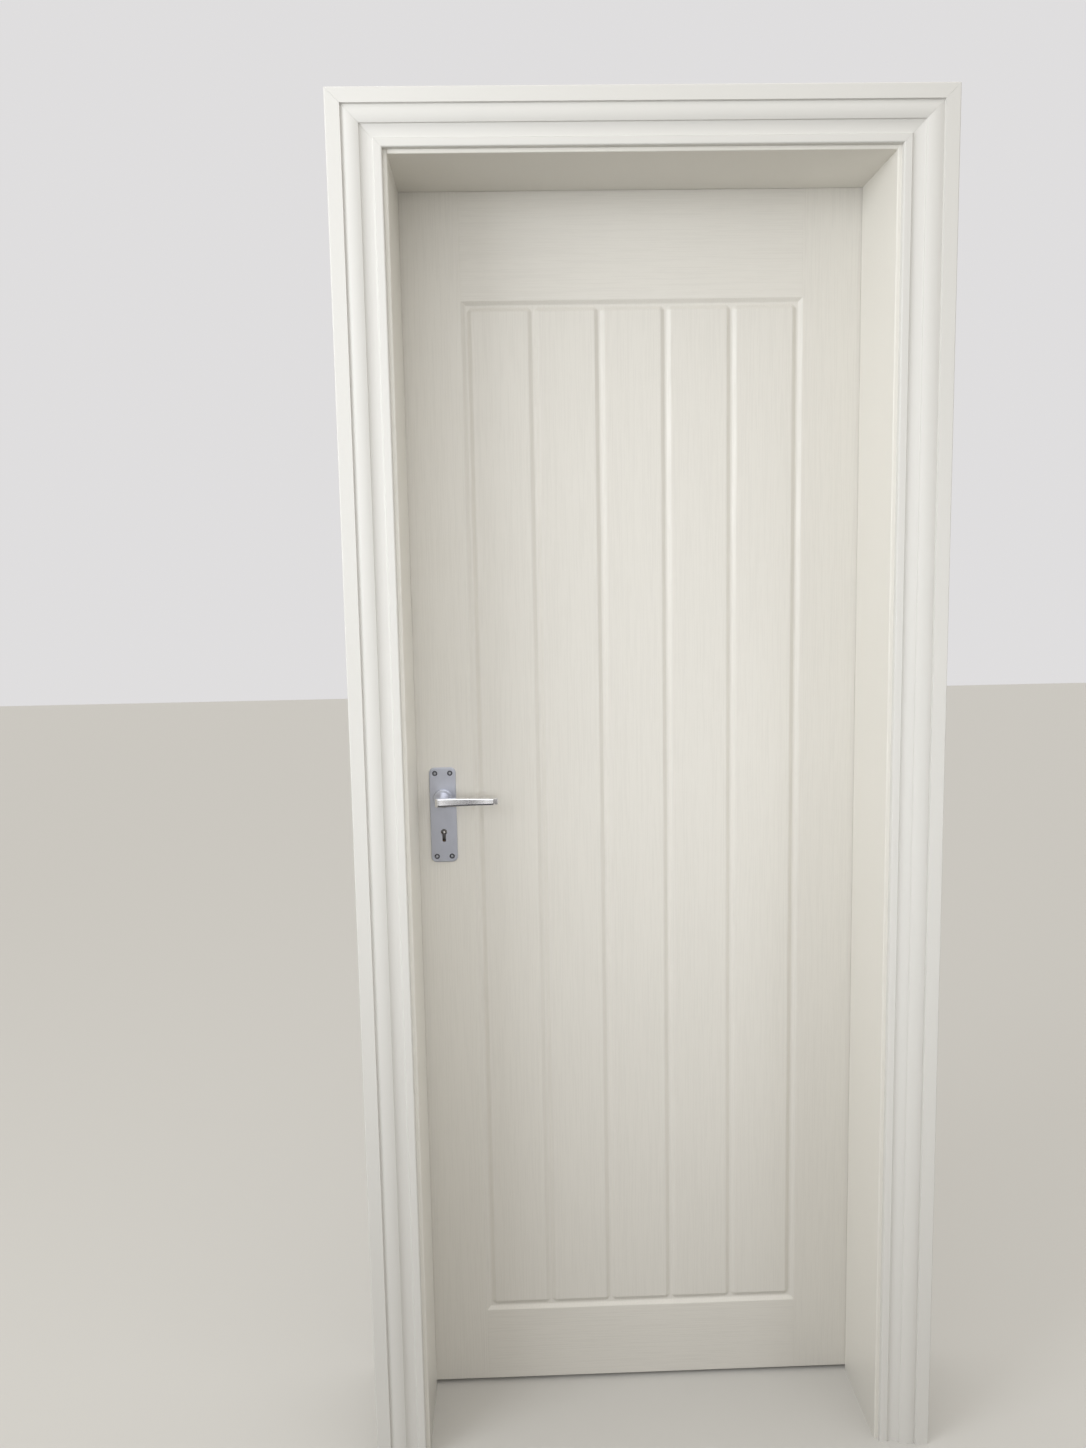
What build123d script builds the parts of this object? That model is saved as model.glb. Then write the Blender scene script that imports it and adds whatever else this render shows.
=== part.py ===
from build123d import *
import math
import os

# A moulded cottage door leaf of five boards, hung in its rebated lining with architraves on both faces.
# Millimetres. +Z is up, X runs across the doorway, and +Y points through it, away from the front face.
# The origin is at floor level, in the middle of the whole assembly.

# Leaf
leaf_width = 762.0
leaf_height = 2032.0
leaf_thickness = 35.0
floor_gap = 7.0

# Moulded skins
skin_thickness = 3.2
board_count = 5
stile_face_width = 108.0
top_rail_face_height = 180.0
bottom_rail_face_height = 130.0
groove_width = 16.0
groove_floor_width = 3.0
groove_depth = 4.0
board_corner_cut = 2.0
groove_edge_bevel = 0.9

# Timber inside the leaf
frame_stile_width = 35.0
frame_rail_height = 35.0
lock_block_width = 70.0
lock_block_height = 300.0
timber_fit = 0.1

# Paper honeycomb between the skins
cell_radius = 100.0
cell_wall = 3.0
core_border = 4.0

# Rebated lining
side_gap = 3.0
stop_cover = 15.0
stop_gap = 1.0
reveal_depth = 172.0
rear_set_back = 1.0
lining_back_thickness = 20.0
lining_arris = 2.0
fixing_hole_radius = 2.75
fixing_low_pair = (150.0, 1950.0)
fixing_mid_pair = (650.0, 1450.0)

# Ogee architrave, measured outwards from its thin edge and forwards from the wall
architrave_width = 78.0
architrave_thickness = 18.0
architrave_quirk = 6.0
thin_edge_height = 10.0
thin_edge_radius = 2.5
thin_band_width = 15.0
fillet_drop = 1.3
fillet_run = 0.4
hollow_height = 7.0
hollow_place = 20.0
ogee_turn_place = 31.0
ogee_turn_height = 10.8
crown_place = 44.0
crown_height = 15.6
quirk_place = 56.0
quirk_height = 13.4
quirk_lean = 0.6
back_band_radius = 2.0

# Lever lock
handle_height = 1060.0
backset = 57.0
key_centre_drop = 57.0
case_depth = 76.0
case_thickness = 14.0
case_above_spindle = 34.0
case_below_spindle = 80.0
case_wall = 1.2
forend_height = 155.0
forend_width = 20.0
forend_thickness = 3.0
mortice_clearance = 0.5
slide_clearance = 0.3

# Latch bolt
latch_projection = 11.0
latch_height = 18.0
latch_thickness = 10.0
latch_bevel_flat = 2.0
latch_rise = 18.0
latch_inner_length = 17.0
latch_stem = 4.0
latch_stem_rise = 24.0
latch_pad_thickness = 2.5
latch_pad_drop = 12.0

# Follower
hub_radius = 9.0
journal_radius = 7.0
follower_arm_reach = 18.0
follower_nose_radius = 3.0
follower_arm_thickness = 4.0
running_clearance = 0.08

# Deadbolt
deadbolt_throw = 14.0
deadbolt_height = 20.0
deadbolt_thickness = 10.0
deadbolt_drop = 35.0
deadbolt_head_length = 28.0
deadbolt_tail_length = 41.0
deadbolt_tail_height = 14.0
deadbolt_tail_thickness = 4.0
guide_post_radius = 2.5
guide_post_setback = 46.0
talon_width = 14.0
talon_depth = 3.5

# Latch spring of flat wire, and its guide
spring_coil_radius = 3.6
spring_wire_across = 0.9
spring_wire_along = 1.0
spring_turns = 5
spring_sides = 16
spring_seat_gap = 0.3
stem_guide_setback = 40.0
stem_guide_thickness = 2.0

# Keyhole
keyhole_radius = 5.0
keyhole_slot_width = 5.8
keyhole_height = 22.0
keyhole_margin = 0.6

# Backplates
plate_width = 44.0
plate_height = 160.0
plate_thickness = 4.0
plate_corner_radius = 9.0
plate_edge_bevel = 1.2
plate_above_spindle = 52.0
boss_radius = 16.0
boss_height = 4.0
boss_edge_bevel = 1.5
plate_screw_across = 25.0
plate_screw_along = 141.0
plate_screw_from_top = 9.5

# Levers, with depths counted out from the skin
lever_reach = 92.0
lever_front_depth = 48.0
lever_root_height = 14.8
lever_tip_height = 11.6
lever_thickness = 11.0
lever_root_overhang = 11.0
lever_bow = 2.2
lever_tip_return = 6.0
lever_edge_bevel = 2.0
lever_root_radius = 4.9
lever_tip_length = 8.0
neck_root_radius = 11.0
neck_end_radius = 6.8
neck_flare_share = 0.25
boss_running_gap = 0.3
shank_radius = 8.0
shank_end_depth = 1.0
spindle_side = 8.0
spindle_fit = 0.1
spindle_socket_depth = 26.0
spindle_end_gap = 0.5
circlip_thickness = 1.1
circlip_depth = 3.4
circlip_outer_radius = 10.0
circlip_groove_depth = 1.0
circlip_slot = 5.0
circlip_fit = 0.1
circlip_recess_radius = 12.0
circlip_recess_depth = 5.0
grub_radius = 2.5
grub_length = 4.6
grub_depth = 17.0

# Strike plate
strike_thickness = 2.0
strike_height = 110.0
strike_width_front = 12.0
strike_hole_clearance = 0.5
strike_lip_radius = 3.0
strike_mortice_depth = 13.0

# Butt hinges
hinge_height = 76.0
hinge_plate_thickness = 2.0
hinge_plate_width = 25.0
knuckle_radius = 5.0
knuckle_count = 5
knuckle_gap = 0.2
knuckle_relief = 0.4
pin_radius = 2.5
pin_clearance = 0.05
pin_set_out = 5.5
top_hinge_from_top = 150.0
bottom_hinge_from_bottom = 225.0
hinge_screw_inset = 10.0
hinge_screw_stagger = 4.0
hinge_screw_end = 12.0

# How far a cut, or a piece that is joined on, runs past the face that it meets
overrun = 1.0

# Small turned pieces, drawn with flat sides in place of their round and thread
round_sides = 20
screw_sides = 8
screw_rim = 0.3
wood_screw_head_radius = 4.0
wood_screw_radius = 2.0
plate_screw_length = 18.0
hinge_door_screw_length = 25.0
hinge_frame_screw_length = 17.0
forend_screw_length = 22.0
strike_screw_length = 15.0
head_screw_length = 60.0
head_screw_head_radius = 4.5
head_screw_radius = 2.25
cover_screw_head_radius = 2.6
cover_screw_radius = 1.2
cover_screw_length = 6.0
cover_post_radius = 3.0
cover_post_sink = 0.8
screw_clearance = 0.05

# Derived places across the doorway
leaf_edge = leaf_width / 2
rebate_face = leaf_edge + side_gap
visible_face = leaf_edge - stop_cover
rebate_cut = rebate_face - visible_face
lining_outer = rebate_face + lining_back_thickness
front_architrave_inner = visible_face + architrave_quirk
rear_architrave_inner = rebate_face + architrave_quirk

# Derived heights
leaf_bottom = floor_gap
leaf_top = leaf_bottom + leaf_height
head_rebate = leaf_top + side_gap
soffit = head_rebate - rebate_cut
head_top = head_rebate + lining_back_thickness

# Derived depths, with the whole assembly centred on Y
lining_depth = reveal_depth + stop_gap + leaf_thickness + rear_set_back
rear_reach = reveal_depth + stop_gap + leaf_thickness + lever_front_depth
front_plane = -(rear_reach - architrave_thickness) / 2
stop_face = front_plane + reveal_depth
leaf_front = stop_face + stop_gap
leaf_rear = leaf_front + leaf_thickness
leaf_mid = (leaf_front + leaf_rear) / 2
rear_plane = front_plane + lining_depth

# Derived lock places
forend_face = -leaf_edge
spindle_x = forend_face + backset
key_height = handle_height - key_centre_drop
case_rear = forend_face + case_depth
case_front = forend_face + forend_thickness
case_top = handle_height + case_above_spindle
case_bottom = handle_height - case_below_spindle
case_middle = (case_top + case_bottom) / 2
latch_height_centre = handle_height + latch_rise
stem_height_centre = handle_height + latch_stem_rise
deadbolt_centre = handle_height - deadbolt_drop
plate_centre = handle_height + plate_above_spindle - plate_height / 2

# Derived hinge places
pin_x = leaf_edge + side_gap / 2
pin_y = rear_plane + pin_set_out
top_hinge_base = leaf_top - top_hinge_from_top - hinge_height
bottom_hinge_base = leaf_bottom + bottom_hinge_from_bottom
middle_hinge_base = (top_hinge_base + bottom_hinge_base) / 2
hinge_bases = {"top": top_hinge_base, "middle": middle_hinge_base, "bottom": bottom_hinge_base}

# Turns that point a part's own +Z along a row axis
to_front = Rot(90, 0, 0)
to_rear = Rot(-90, 0, 0)
to_right = Rot(0, 90, 0)
to_left = Rot(0, -90, 0)


def block(x_span, y_span, z_span):
    """A rectangular block between two ends on each axis."""
    size = [high - low for low, high in (x_span, y_span, z_span)]
    centre = [(high + low) / 2 for low, high in (x_span, y_span, z_span)]
    return Pos(*centre) * Box(*size)


def centred(middle, size):
    """The two ends of a length about its middle."""
    return (middle - size / 2, middle + size / 2)


def rod(radius, height, hollow=False):
    """A round bar drawn with many flat sides, or the room for one of that radius where it is hollow."""
    outline = RegularPolygon(radius, round_sides, major_radius=not hollow)
    return extrude(outline, amount=height / 2, both=True)


def screw(head_radius, shank_radius, length, grow=0.0):
    """A countersunk screw with flat sides, head up at its own origin; grow makes the hole that it is in."""
    cone_depth = head_radius - shank_radius
    head = RegularPolygon(head_radius + grow, screw_sides, major_radius=False)
    shank = RegularPolygon(shank_radius + grow, screw_sides, major_radius=False)
    top = extrude(head, amount=-screw_rim - cone_depth)
    top = chamfer(top.edges().group_by(Axis.Z)[0], length=cone_depth)
    return top + extrude(shank, amount=-length - grow)


def keyhole(grow=0.0):
    """The outline of the keyhole about the centre of its round end."""
    slot = keyhole_slot_width / 2 + grow
    foot = keyhole_height - keyhole_radius - keyhole_slot_width / 2
    shape = Circle(keyhole_radius + grow) + Pos(0, -foot / 2) * Rectangle(2 * slot, foot)
    return shape + Pos(0, -foot) * Circle(slot)


# Ogee architraves

def architrave_profile():
    """The ogee section: across from the thin edge, and up from the wall face."""
    thin = thin_edge_height
    thin_turn = thin_edge_radius * (1 - math.sqrt(0.5))
    band = back_band_radius
    band_turn = band * (1 - math.sqrt(0.5))
    wide = architrave_width
    full = architrave_thickness
    hollow_start = (thin_band_width, thin - fillet_drop)
    turn = (ogee_turn_place, ogee_turn_height)
    foot = (quirk_place, quirk_height)
    step = (quirk_place + quirk_lean, full)
    shoulder = (thin_band_width - fillet_run, thin)
    outline = [
        Line((0, 0), (0, thin - thin_edge_radius)),
        ThreePointArc((0, thin - thin_edge_radius), (thin_turn, thin - thin_turn), (thin_edge_radius, thin)),
        Line((thin_edge_radius, thin), shoulder),
        Line(shoulder, hollow_start),
        ThreePointArc(hollow_start, (hollow_place, hollow_height), turn),
        ThreePointArc(turn, (crown_place, crown_height), foot),
        Line(foot, step),
        Line(step, (wide - band, full)),
        ThreePointArc((wide - band, full), (wide - band_turn, full - band_turn), (wide, full - band)),
        Line((wide, full - band), (wide, 0)),
        Line((wide, 0), (0, 0)),
    ]
    return make_face(outline)


def architrave_leg(inner_height):
    """An upright leg, mitred at the top, with its thin edge on X = 0 and its wall face on Y = 0."""
    tall = inner_height + architrave_width
    bar = extrude(architrave_profile(), amount=tall)
    outline = Polyline((0, 0), (architrave_width, 0), (architrave_width, tall), (0, inner_height), (0, 0))
    sheet = extrude(Plane.XZ * make_face(outline), amount=-architrave_thickness)
    return bar & sheet


def architrave_head(inner_width):
    """The head piece, mitred at both ends, with its thin edge on Z = 0 and its wall face on Y = 0."""
    half = inner_width / 2
    wide = architrave_width
    bar = extrude(architrave_profile(), amount=half + wide, both=True)
    bar = Rot(0, -90, 0) * bar
    outline = Polyline((-half, 0), (half, 0), (half + wide, wide), (-half - wide, wide), (-half, 0))
    sheet = extrude(Plane.XZ * make_face(outline), amount=-architrave_thickness)
    return bar & sheet


def architrave_set(face, inner, head_height, wall):
    """The three mitred pieces around one face of the lining; face is -1 for the front and 1 for the rear."""
    leg = architrave_leg(head_height)
    head = architrave_head(2 * inner)
    if face < 0:
        leg = mirror(leg, about=Plane.XZ)
        head = mirror(head, about=Plane.XZ)
    hinge_leg = Pos(inner, wall, 0) * leg
    latch_leg = mirror(hinge_leg, about=Plane.YZ)
    return Pos(0, wall, head_height) * head, latch_leg, hinge_leg


# Rebated lining

def lining_jamb():
    """The hinge side jamb, an L section on end, before anything is cut into it."""
    outline = Polyline(
        (visible_face, front_plane),
        (lining_outer, front_plane),
        (lining_outer, rear_plane),
        (rebate_face, rear_plane),
        (rebate_face, stop_face),
        (visible_face, stop_face),
        (visible_face, front_plane),
    )
    section = make_face(outline)
    arrises = section.vertices().group_by(Axis.X)[0]
    section = fillet(arrises, radius=lining_arris)
    return extrude(section, amount=head_rebate)


def lining_head():
    """The head, notched over the jambs, with its stop part between them."""
    outline = Polyline(
        (front_plane, soffit),
        (stop_face, soffit),
        (stop_face, head_rebate),
        (front_plane, head_rebate),
        (front_plane, soffit),
    )
    section = make_face(outline)
    section = fillet(section.vertices().group_by(Axis.Y)[0], radius=lining_arris)
    stop = Pos(-visible_face, 0, 0) * extrude(Plane.YZ * section, amount=2 * visible_face)
    board = block((-lining_outer, lining_outer), (front_plane, rear_plane), (head_rebate, head_top))
    return board + stop


def head_screw_places():
    """Where the screws go down through the head into each jamb."""
    inset = reveal_depth / 4
    across = (visible_face + lining_outer) / 2
    depths = (front_plane + inset, stop_face - inset)
    return [(side * across, depth, head_top) for side in (-1, 1) for depth in depths]


def fixing_holes(side):
    """The fixing holes along the rebate of one jamb."""
    heights = fixing_low_pair + fixing_mid_pair
    middle = side * (rebate_face + lining_back_thickness / 2)
    drill = Rot(0, 90, 0) * Cylinder(fixing_hole_radius, lining_back_thickness + 2 * overrun)
    return [Pos(middle, leaf_mid, height) * drill for height in heights]


# Leaf

def moulded_relief(width, floor, depth):
    """The pressed groove pattern of one face, from the face plane at Z = 0 down to its floor."""
    lean = math.degrees(math.atan((width - floor) / 2 / depth))
    centre_shift = (groove_width - width) / 2
    left = -leaf_edge + stile_face_width + centre_shift
    low = leaf_bottom + bottom_rail_face_height + centre_shift
    high = leaf_top - top_rail_face_height - centre_shift
    pocket = Pos(0, (low + high) / 2, 0) * Rectangle(-2 * left, high - low)
    pocket = extrude(pocket, amount=depth, dir=(0, 0, -1), taper=lean)
    pitch = (leaf_width - 2 * stile_face_width - groove_width) / board_count
    board_height = high - low - 2 * width
    grow = width - floor
    relief = pocket
    for index in range(board_count):
        middle = (index - (board_count - 1) / 2) * pitch
        foot = Rectangle(pitch - width + grow, board_height + grow)
        foot = chamfer(foot.vertices(), length=board_corner_cut)
        board = Pos(middle, (low + high) / 2, -depth) * foot
        relief -= extrude(board, amount=depth, taper=lean)
    return relief


def skin_blank():
    """A pressed skin lying flat, with its show face on Z = half the leaf's thickness and X, Z as X, Y."""
    face = leaf_thickness / 2
    lean_run = (groove_width - groove_floor_width) / 2 / groove_depth
    spread = 2 * skin_thickness * (math.hypot(1, lean_run) - lean_run)
    sheet = Pos(0, (leaf_bottom + leaf_top) / 2, face - skin_thickness / 2)
    sheet = sheet * Box(leaf_width, leaf_height, skin_thickness)
    ribs = moulded_relief(groove_width + spread, groove_floor_width + spread, groove_depth)
    grooves = moulded_relief(groove_width, groove_floor_width, groove_depth)
    skin = sheet + Pos(0, 0, face - skin_thickness) * ribs
    skin -= Pos(0, 0, face) * grooves
    rims = [
        edge
        for edge in skin.edges().filter_by_position(Axis.Z, face - 0.001, face + 0.001)
        if abs(edge.center().X) < leaf_edge - overrun
        and leaf_bottom + overrun < edge.center().Y < leaf_top - overrun
    ]
    return chamfer(rims, length=groove_edge_bevel)


def lock_cuts_through_skin():
    """What the lock furniture needs open through both skins and the timber, along Y."""
    reach = leaf_thickness * 2
    bore = Pos(spindle_x, leaf_mid, handle_height) * to_front * Cylinder(spindle_side, reach)
    key = to_front * extrude(keyhole(keyhole_margin), amount=reach / 2, both=True)
    return [bore, Pos(spindle_x, leaf_mid, key_height) * key]


def plate_screw_places():
    """The four screw places of a backplate, across and up."""
    top = handle_height + plate_above_spindle - plate_screw_from_top
    heights = (top, top - plate_screw_along)
    sides = (-plate_screw_across / 2, plate_screw_across / 2)
    return [(spindle_x + side, height) for side in sides for height in heights]


def plate_screws(face, grow=0.0):
    """The screws of the front (-1) or rear (1) backplate."""
    turn = to_front if face < 0 else to_rear
    depth = leaf_front - plate_thickness if face < 0 else leaf_rear + plate_thickness
    one = turn * screw(wood_screw_head_radius, wood_screw_radius, plate_screw_length, grow)
    return [Pos(across, depth, height) * one for across, height in plate_screw_places()]


def lock_mortice():
    """The pocket for the case and the recess for the forend, cut into the timber."""
    fit = mortice_clearance
    pocket = block(
        (forend_face - overrun, case_rear + fit),
        centred(leaf_mid, case_thickness + 2 * fit),
        (case_bottom - fit, case_top + fit),
    )
    recess = block(
        (forend_face - overrun, case_front),
        centred(leaf_mid, forend_width + 2 * timber_fit),
        centred(case_middle, forend_height + 2 * timber_fit),
    )
    return pocket + recess


def honeycomb():
    """The paper core: hexagonal cells between the timber, thin enough to lie between the pressed ribs."""
    rib_reach = skin_thickness + groove_depth
    thick = leaf_thickness - 2 * rib_reach - 2 * timber_fit
    half = leaf_edge - frame_stile_width - timber_fit
    low = leaf_bottom + frame_rail_height + timber_fit
    high = leaf_top - frame_rail_height - timber_fit
    middle = (low + high) / 2
    notch_width = lock_block_width + timber_fit
    notch_height = lock_block_height + 2 * timber_fit
    field = Pos(0, middle) * Rectangle(2 * half, high - low)
    notch = Pos(-half + notch_width / 2, case_middle) * Rectangle(notch_width, notch_height)
    inner = Pos(0, middle) * Rectangle(2 * (half - core_border), high - low - 2 * core_border)
    notch_wide = notch_width + core_border
    notch_tall = notch_height + 2 * core_border
    inner -= Pos(-half + notch_wide / 2, case_middle) * Rectangle(notch_wide, notch_tall)
    pitch = cell_radius + cell_wall / math.sqrt(3)
    columns = math.ceil(half / pitch) * 2 + 3
    rows = math.ceil((high - low) / (pitch * math.sqrt(3))) + 3
    places = HexLocations(pitch, columns, rows, major_radius=True)
    cells = Pos(0, middle) * places * RegularPolygon(cell_radius, 6)
    core = extrude(field - notch, amount=thick / 2, both=True)
    core -= extrude(Sketch() + cells & inner, amount=thick, both=True)
    return Pos(0, leaf_mid, 0) * to_front * core


# Hinges

def hinge_screw_places(base):
    """The staggered screw places of one hinge plate: depth and height."""
    depth = leaf_rear - hinge_screw_inset
    ends = (base + hinge_screw_end, base + hinge_height - hinge_screw_end)
    places = [(depth - hinge_screw_stagger / 2, height) for height in ends]
    return places + [(depth + hinge_screw_stagger / 2, base + hinge_height / 2)]


def knuckle_span(base, index):
    """The lower and upper end of one knuckle."""
    pitch = hinge_height / knuckle_count
    low = base + index * pitch + (knuckle_gap / 2 if index else 0)
    high = base + (index + 1) * pitch - (knuckle_gap / 2 if index < knuckle_count - 1 else 0)
    return low, high


def hinge_plate(base, on_leaf):
    """One plate of a butt hinge with its knuckles; on_leaf picks the plate on the leaf's edge."""
    if on_leaf:
        across = (leaf_edge - hinge_plate_thickness, leaf_edge)
        own = range(1, knuckle_count, 2)
    else:
        across = (rebate_face, rebate_face + hinge_plate_thickness)
        own = range(0, knuckle_count, 2)
    plate = block(across, (leaf_rear - hinge_plate_width, pin_y), (base, base + hinge_height))
    for index in range(knuckle_count):
        low, high = knuckle_span(base, index)
        middle = Pos(pin_x, pin_y, (low + high) / 2)
        if index in own:
            plate += middle * rod(knuckle_radius, high - low)
        else:
            gap = 2 * knuckle_gap
            plate -= middle * rod(knuckle_radius + knuckle_relief, high - low + gap, hollow=True)
    bore = rod(pin_radius + pin_clearance, hinge_height * 2, hollow=True)
    plate -= Pos(pin_x, pin_y, base + hinge_height / 2) * bore
    for hole in hinge_screws(base, on_leaf, screw_clearance):
        plate -= hole
    return plate


def hinge_screws(base, on_leaf, grow=0.0):
    """The three screws of one hinge plate."""
    if on_leaf:
        length = hinge_door_screw_length
        turn = to_right
        face = leaf_edge
    else:
        length = hinge_frame_screw_length
        turn = to_left
        face = rebate_face
    one = turn * screw(wood_screw_head_radius, wood_screw_radius, length, grow)
    return [Pos(face, depth, height) * one for depth, height in hinge_screw_places(base)]


def hinge_recess(base, on_leaf):
    """The shallow pocket that a hinge plate is let into."""
    if on_leaf:
        across = (leaf_edge - hinge_plate_thickness, leaf_edge + overrun)
    else:
        across = (rebate_face - overrun, rebate_face + hinge_plate_thickness)
    depths = (leaf_rear - hinge_plate_width - timber_fit, rear_plane + overrun)
    return block(across, depths, (base - timber_fit, base + hinge_height + timber_fit))


def hinge_pin(base):
    """The fast pin, flush with the knuckles at both ends."""
    return Pos(pin_x, pin_y, base + hinge_height / 2) * rod(pin_radius, hinge_height)


# Lock

def forend():
    """The lock's face plate on the leaf's edge."""
    fit = slide_clearance
    plate = block(
        (forend_face, case_front),
        centred(leaf_mid, forend_width),
        centred(case_middle, forend_height),
    )
    plate -= latch_window(forend_face - overrun, case_front + overrun, fit)
    plate -= deadbolt_window(forend_face - overrun, case_front + overrun, fit)
    for hole in forend_screws(screw_clearance):
        plate -= hole
    return plate


def latch_window(start, end, fit):
    """The opening around the latch head between two places across."""
    return block(
        (start, end),
        centred(leaf_mid, latch_thickness + 2 * fit),
        centred(latch_height_centre, latch_height + 2 * fit),
    )


def deadbolt_window(start, end, fit):
    """The opening around the deadbolt head between two places across."""
    return block(
        (start, end),
        centred(leaf_mid, deadbolt_thickness + 2 * fit),
        centred(deadbolt_centre, deadbolt_height + 2 * fit),
    )


def forend_screws(grow=0.0):
    """The two screws that hold the lock into the leaf's edge."""
    one = to_left * screw(wood_screw_head_radius, wood_screw_radius, forend_screw_length, grow)
    inset = (forend_height - (case_top - case_bottom)) / 4
    heights = (case_top + inset, case_bottom - inset)
    return [Pos(forend_face, leaf_mid, height) * one for height in heights]


def cover_post_places():
    """The posts that the case cover is screwed to, across and up; each one runs into the wall beside it."""
    inset = case_wall + cover_post_radius - cover_post_sink
    across = case_rear - inset
    low = case_bottom + inset
    front = case_front + inset
    return [(across, low), (front, low), (front, handle_height - hub_radius)]


def lock_case():
    """The tray of the lock with its guides and posts, open towards the rear of the leaf."""
    front = leaf_mid - case_thickness / 2
    rear = leaf_mid + case_thickness / 2 - case_wall
    fit = slide_clearance
    tray = block((case_front, case_rear), (front, rear), (case_bottom, case_top))
    tray -= block(
        (case_front + case_wall, case_rear - case_wall),
        (front + case_wall, rear + overrun),
        (case_bottom + case_wall, case_top - case_wall),
    )
    depth = (front, rear)
    guide_place = forend_face + stem_guide_setback
    guide = block(
        (guide_place, guide_place + stem_guide_thickness),
        depth,
        (handle_height + latch_pad_drop, case_top),
    )
    guide -= block(
        (guide_place - overrun, guide_place + stem_guide_thickness + overrun),
        centred(leaf_mid, latch_stem + 2 * fit),
        centred(stem_height_centre, latch_stem + 2 * fit),
    )
    tray += guide
    for across, height in cover_post_places():
        post = to_front * Cylinder(cover_post_radius, rear - front)
        tray += Pos(across, (front + rear) / 2, height) * post
    guide_post = to_front * Cylinder(guide_post_radius, rear - front)
    tray += Pos(forend_face + guide_post_setback, (front + rear) / 2, deadbolt_centre) * guide_post
    tray -= latch_window(case_front - overrun, case_front + case_wall + overrun, fit)
    tray -= deadbolt_window(case_front - overrun, case_front + case_wall + overrun, fit)
    for cut in case_face_cuts():
        tray -= cut
    for hole in cover_screws(screw_clearance):
        tray -= hole
    return tray


def case_face_cuts():
    """The follower's bearing and the keyhole through both faces of the case."""
    reach = case_thickness * 2
    bearing = to_front * Cylinder(journal_radius + running_clearance, reach)
    key = to_front * extrude(keyhole(keyhole_margin), amount=reach / 2, both=True)
    return [
        Pos(spindle_x, leaf_mid, handle_height) * bearing,
        Pos(spindle_x, leaf_mid, key_height) * key,
    ]


def lock_cover():
    """The lid of the lock case."""
    rear = leaf_mid + case_thickness / 2
    lid = block((case_front, case_rear), (rear - case_wall, rear), (case_bottom, case_top))
    for cut in case_face_cuts():
        lid -= cut
    for hole in cover_screws(screw_clearance):
        lid -= hole
    return lid


def cover_screws(grow=0.0):
    """The small screws of the case cover."""
    one = to_rear * screw(cover_screw_head_radius, cover_screw_radius, cover_screw_length, grow)
    face = leaf_mid + case_thickness / 2
    return [Pos(across, face, height) * one for across, height in cover_post_places()]


def latch_bolt():
    """The bevelled latch head with its stem and the hook that the follower draws back."""
    half = latch_thickness / 2
    tip = forend_face - latch_projection
    tail = forend_face + latch_inner_length
    outline = Polyline(
        (tail, leaf_mid - half),
        (forend_face, leaf_mid - half),
        (tip, leaf_mid + half - latch_bevel_flat),
        (tip, leaf_mid + half),
        (tail, leaf_mid + half),
        (tail, leaf_mid - half),
    )
    head = extrude(make_face(outline), amount=latch_height)
    head = Pos(0, 0, latch_height_centre - latch_height / 2) * head
    pad = spindle_x + follower_nose_radius + slide_clearance
    stem = block(
        (tail - overrun, pad + latch_pad_thickness),
        centred(leaf_mid, latch_stem),
        centred(stem_height_centre, latch_stem),
    )
    hook = block(
        (pad, pad + latch_pad_thickness),
        centred(leaf_mid, latch_thickness),
        (handle_height + latch_pad_drop, stem_height_centre + latch_stem / 2),
    )
    return head + stem + hook


def follower():
    """The hub that the spindle turns, with the arm that draws the latch."""
    inner = case_thickness - 2 * case_wall - 2 * slide_clearance
    hub = to_front * rod(hub_radius, inner)
    journal = to_front * rod(journal_radius, case_thickness)
    nose = Pos(0, 0, follower_arm_reach) * to_front * rod(follower_nose_radius, follower_arm_thickness)
    arm = block(
        centred(0, 2 * follower_nose_radius),
        centred(0, follower_arm_thickness),
        (0, follower_arm_reach),
    )
    socket = Box(spindle_side + spindle_fit, case_thickness * 2, spindle_side + spindle_fit)
    return Pos(spindle_x, leaf_mid, handle_height) * (hub + journal + nose + arm - socket)


def deadbolt():
    """The square deadbolt with its slotted tail and the notch that the key works in."""
    tail_start = forend_face + deadbolt_head_length
    head = block(
        (forend_face, tail_start),
        centred(leaf_mid, deadbolt_thickness),
        centred(deadbolt_centre, deadbolt_height),
    )
    tail = block(
        (tail_start - overrun, tail_start + deadbolt_tail_length),
        centred(leaf_mid, deadbolt_tail_thickness),
        centred(deadbolt_centre, deadbolt_tail_height),
    )
    slot_half = guide_post_radius + slide_clearance
    post = forend_face + guide_post_setback
    slot = block(
        (post - slot_half, post + slot_half + deadbolt_throw),
        centred(leaf_mid, deadbolt_tail_thickness * 2),
        centred(deadbolt_centre, 2 * slot_half),
    )
    talon_low = deadbolt_centre - deadbolt_tail_height / 2
    talon = block(
        centred(spindle_x + deadbolt_throw / 2, talon_width),
        centred(leaf_mid, deadbolt_tail_thickness * 2),
        (talon_low - overrun, talon_low + talon_depth),
    )
    return head + tail - slot - talon


def latch_spring():
    """The flat-wire coil around the latch stem, between the head and the guide, with flats on each turn."""
    start = forend_face + latch_inner_length + spring_seat_gap + spring_wire_along / 2
    end = forend_face + stem_guide_setback - spring_seat_gap - spring_wire_along / 2
    turn = 2 * math.pi / spring_sides
    rise = (end - start) / (spring_turns * spring_sides)
    radius = spring_coil_radius
    steps = range(spring_turns * spring_sides + 1)
    coil = Polyline([(radius * math.cos(k * turn), radius * math.sin(k * turn), k * rise) for k in steps])
    foot = Plane(coil @ 0, x_dir=(1, 0, 0), z_dir=coil % 0)
    wire = foot * Rectangle(spring_wire_across, spring_wire_along)
    body = sweep(wire, path=coil, transition=Transition.RIGHT)
    return Pos(start, leaf_mid, stem_height_centre) * to_right * body


# Lever furniture

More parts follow.
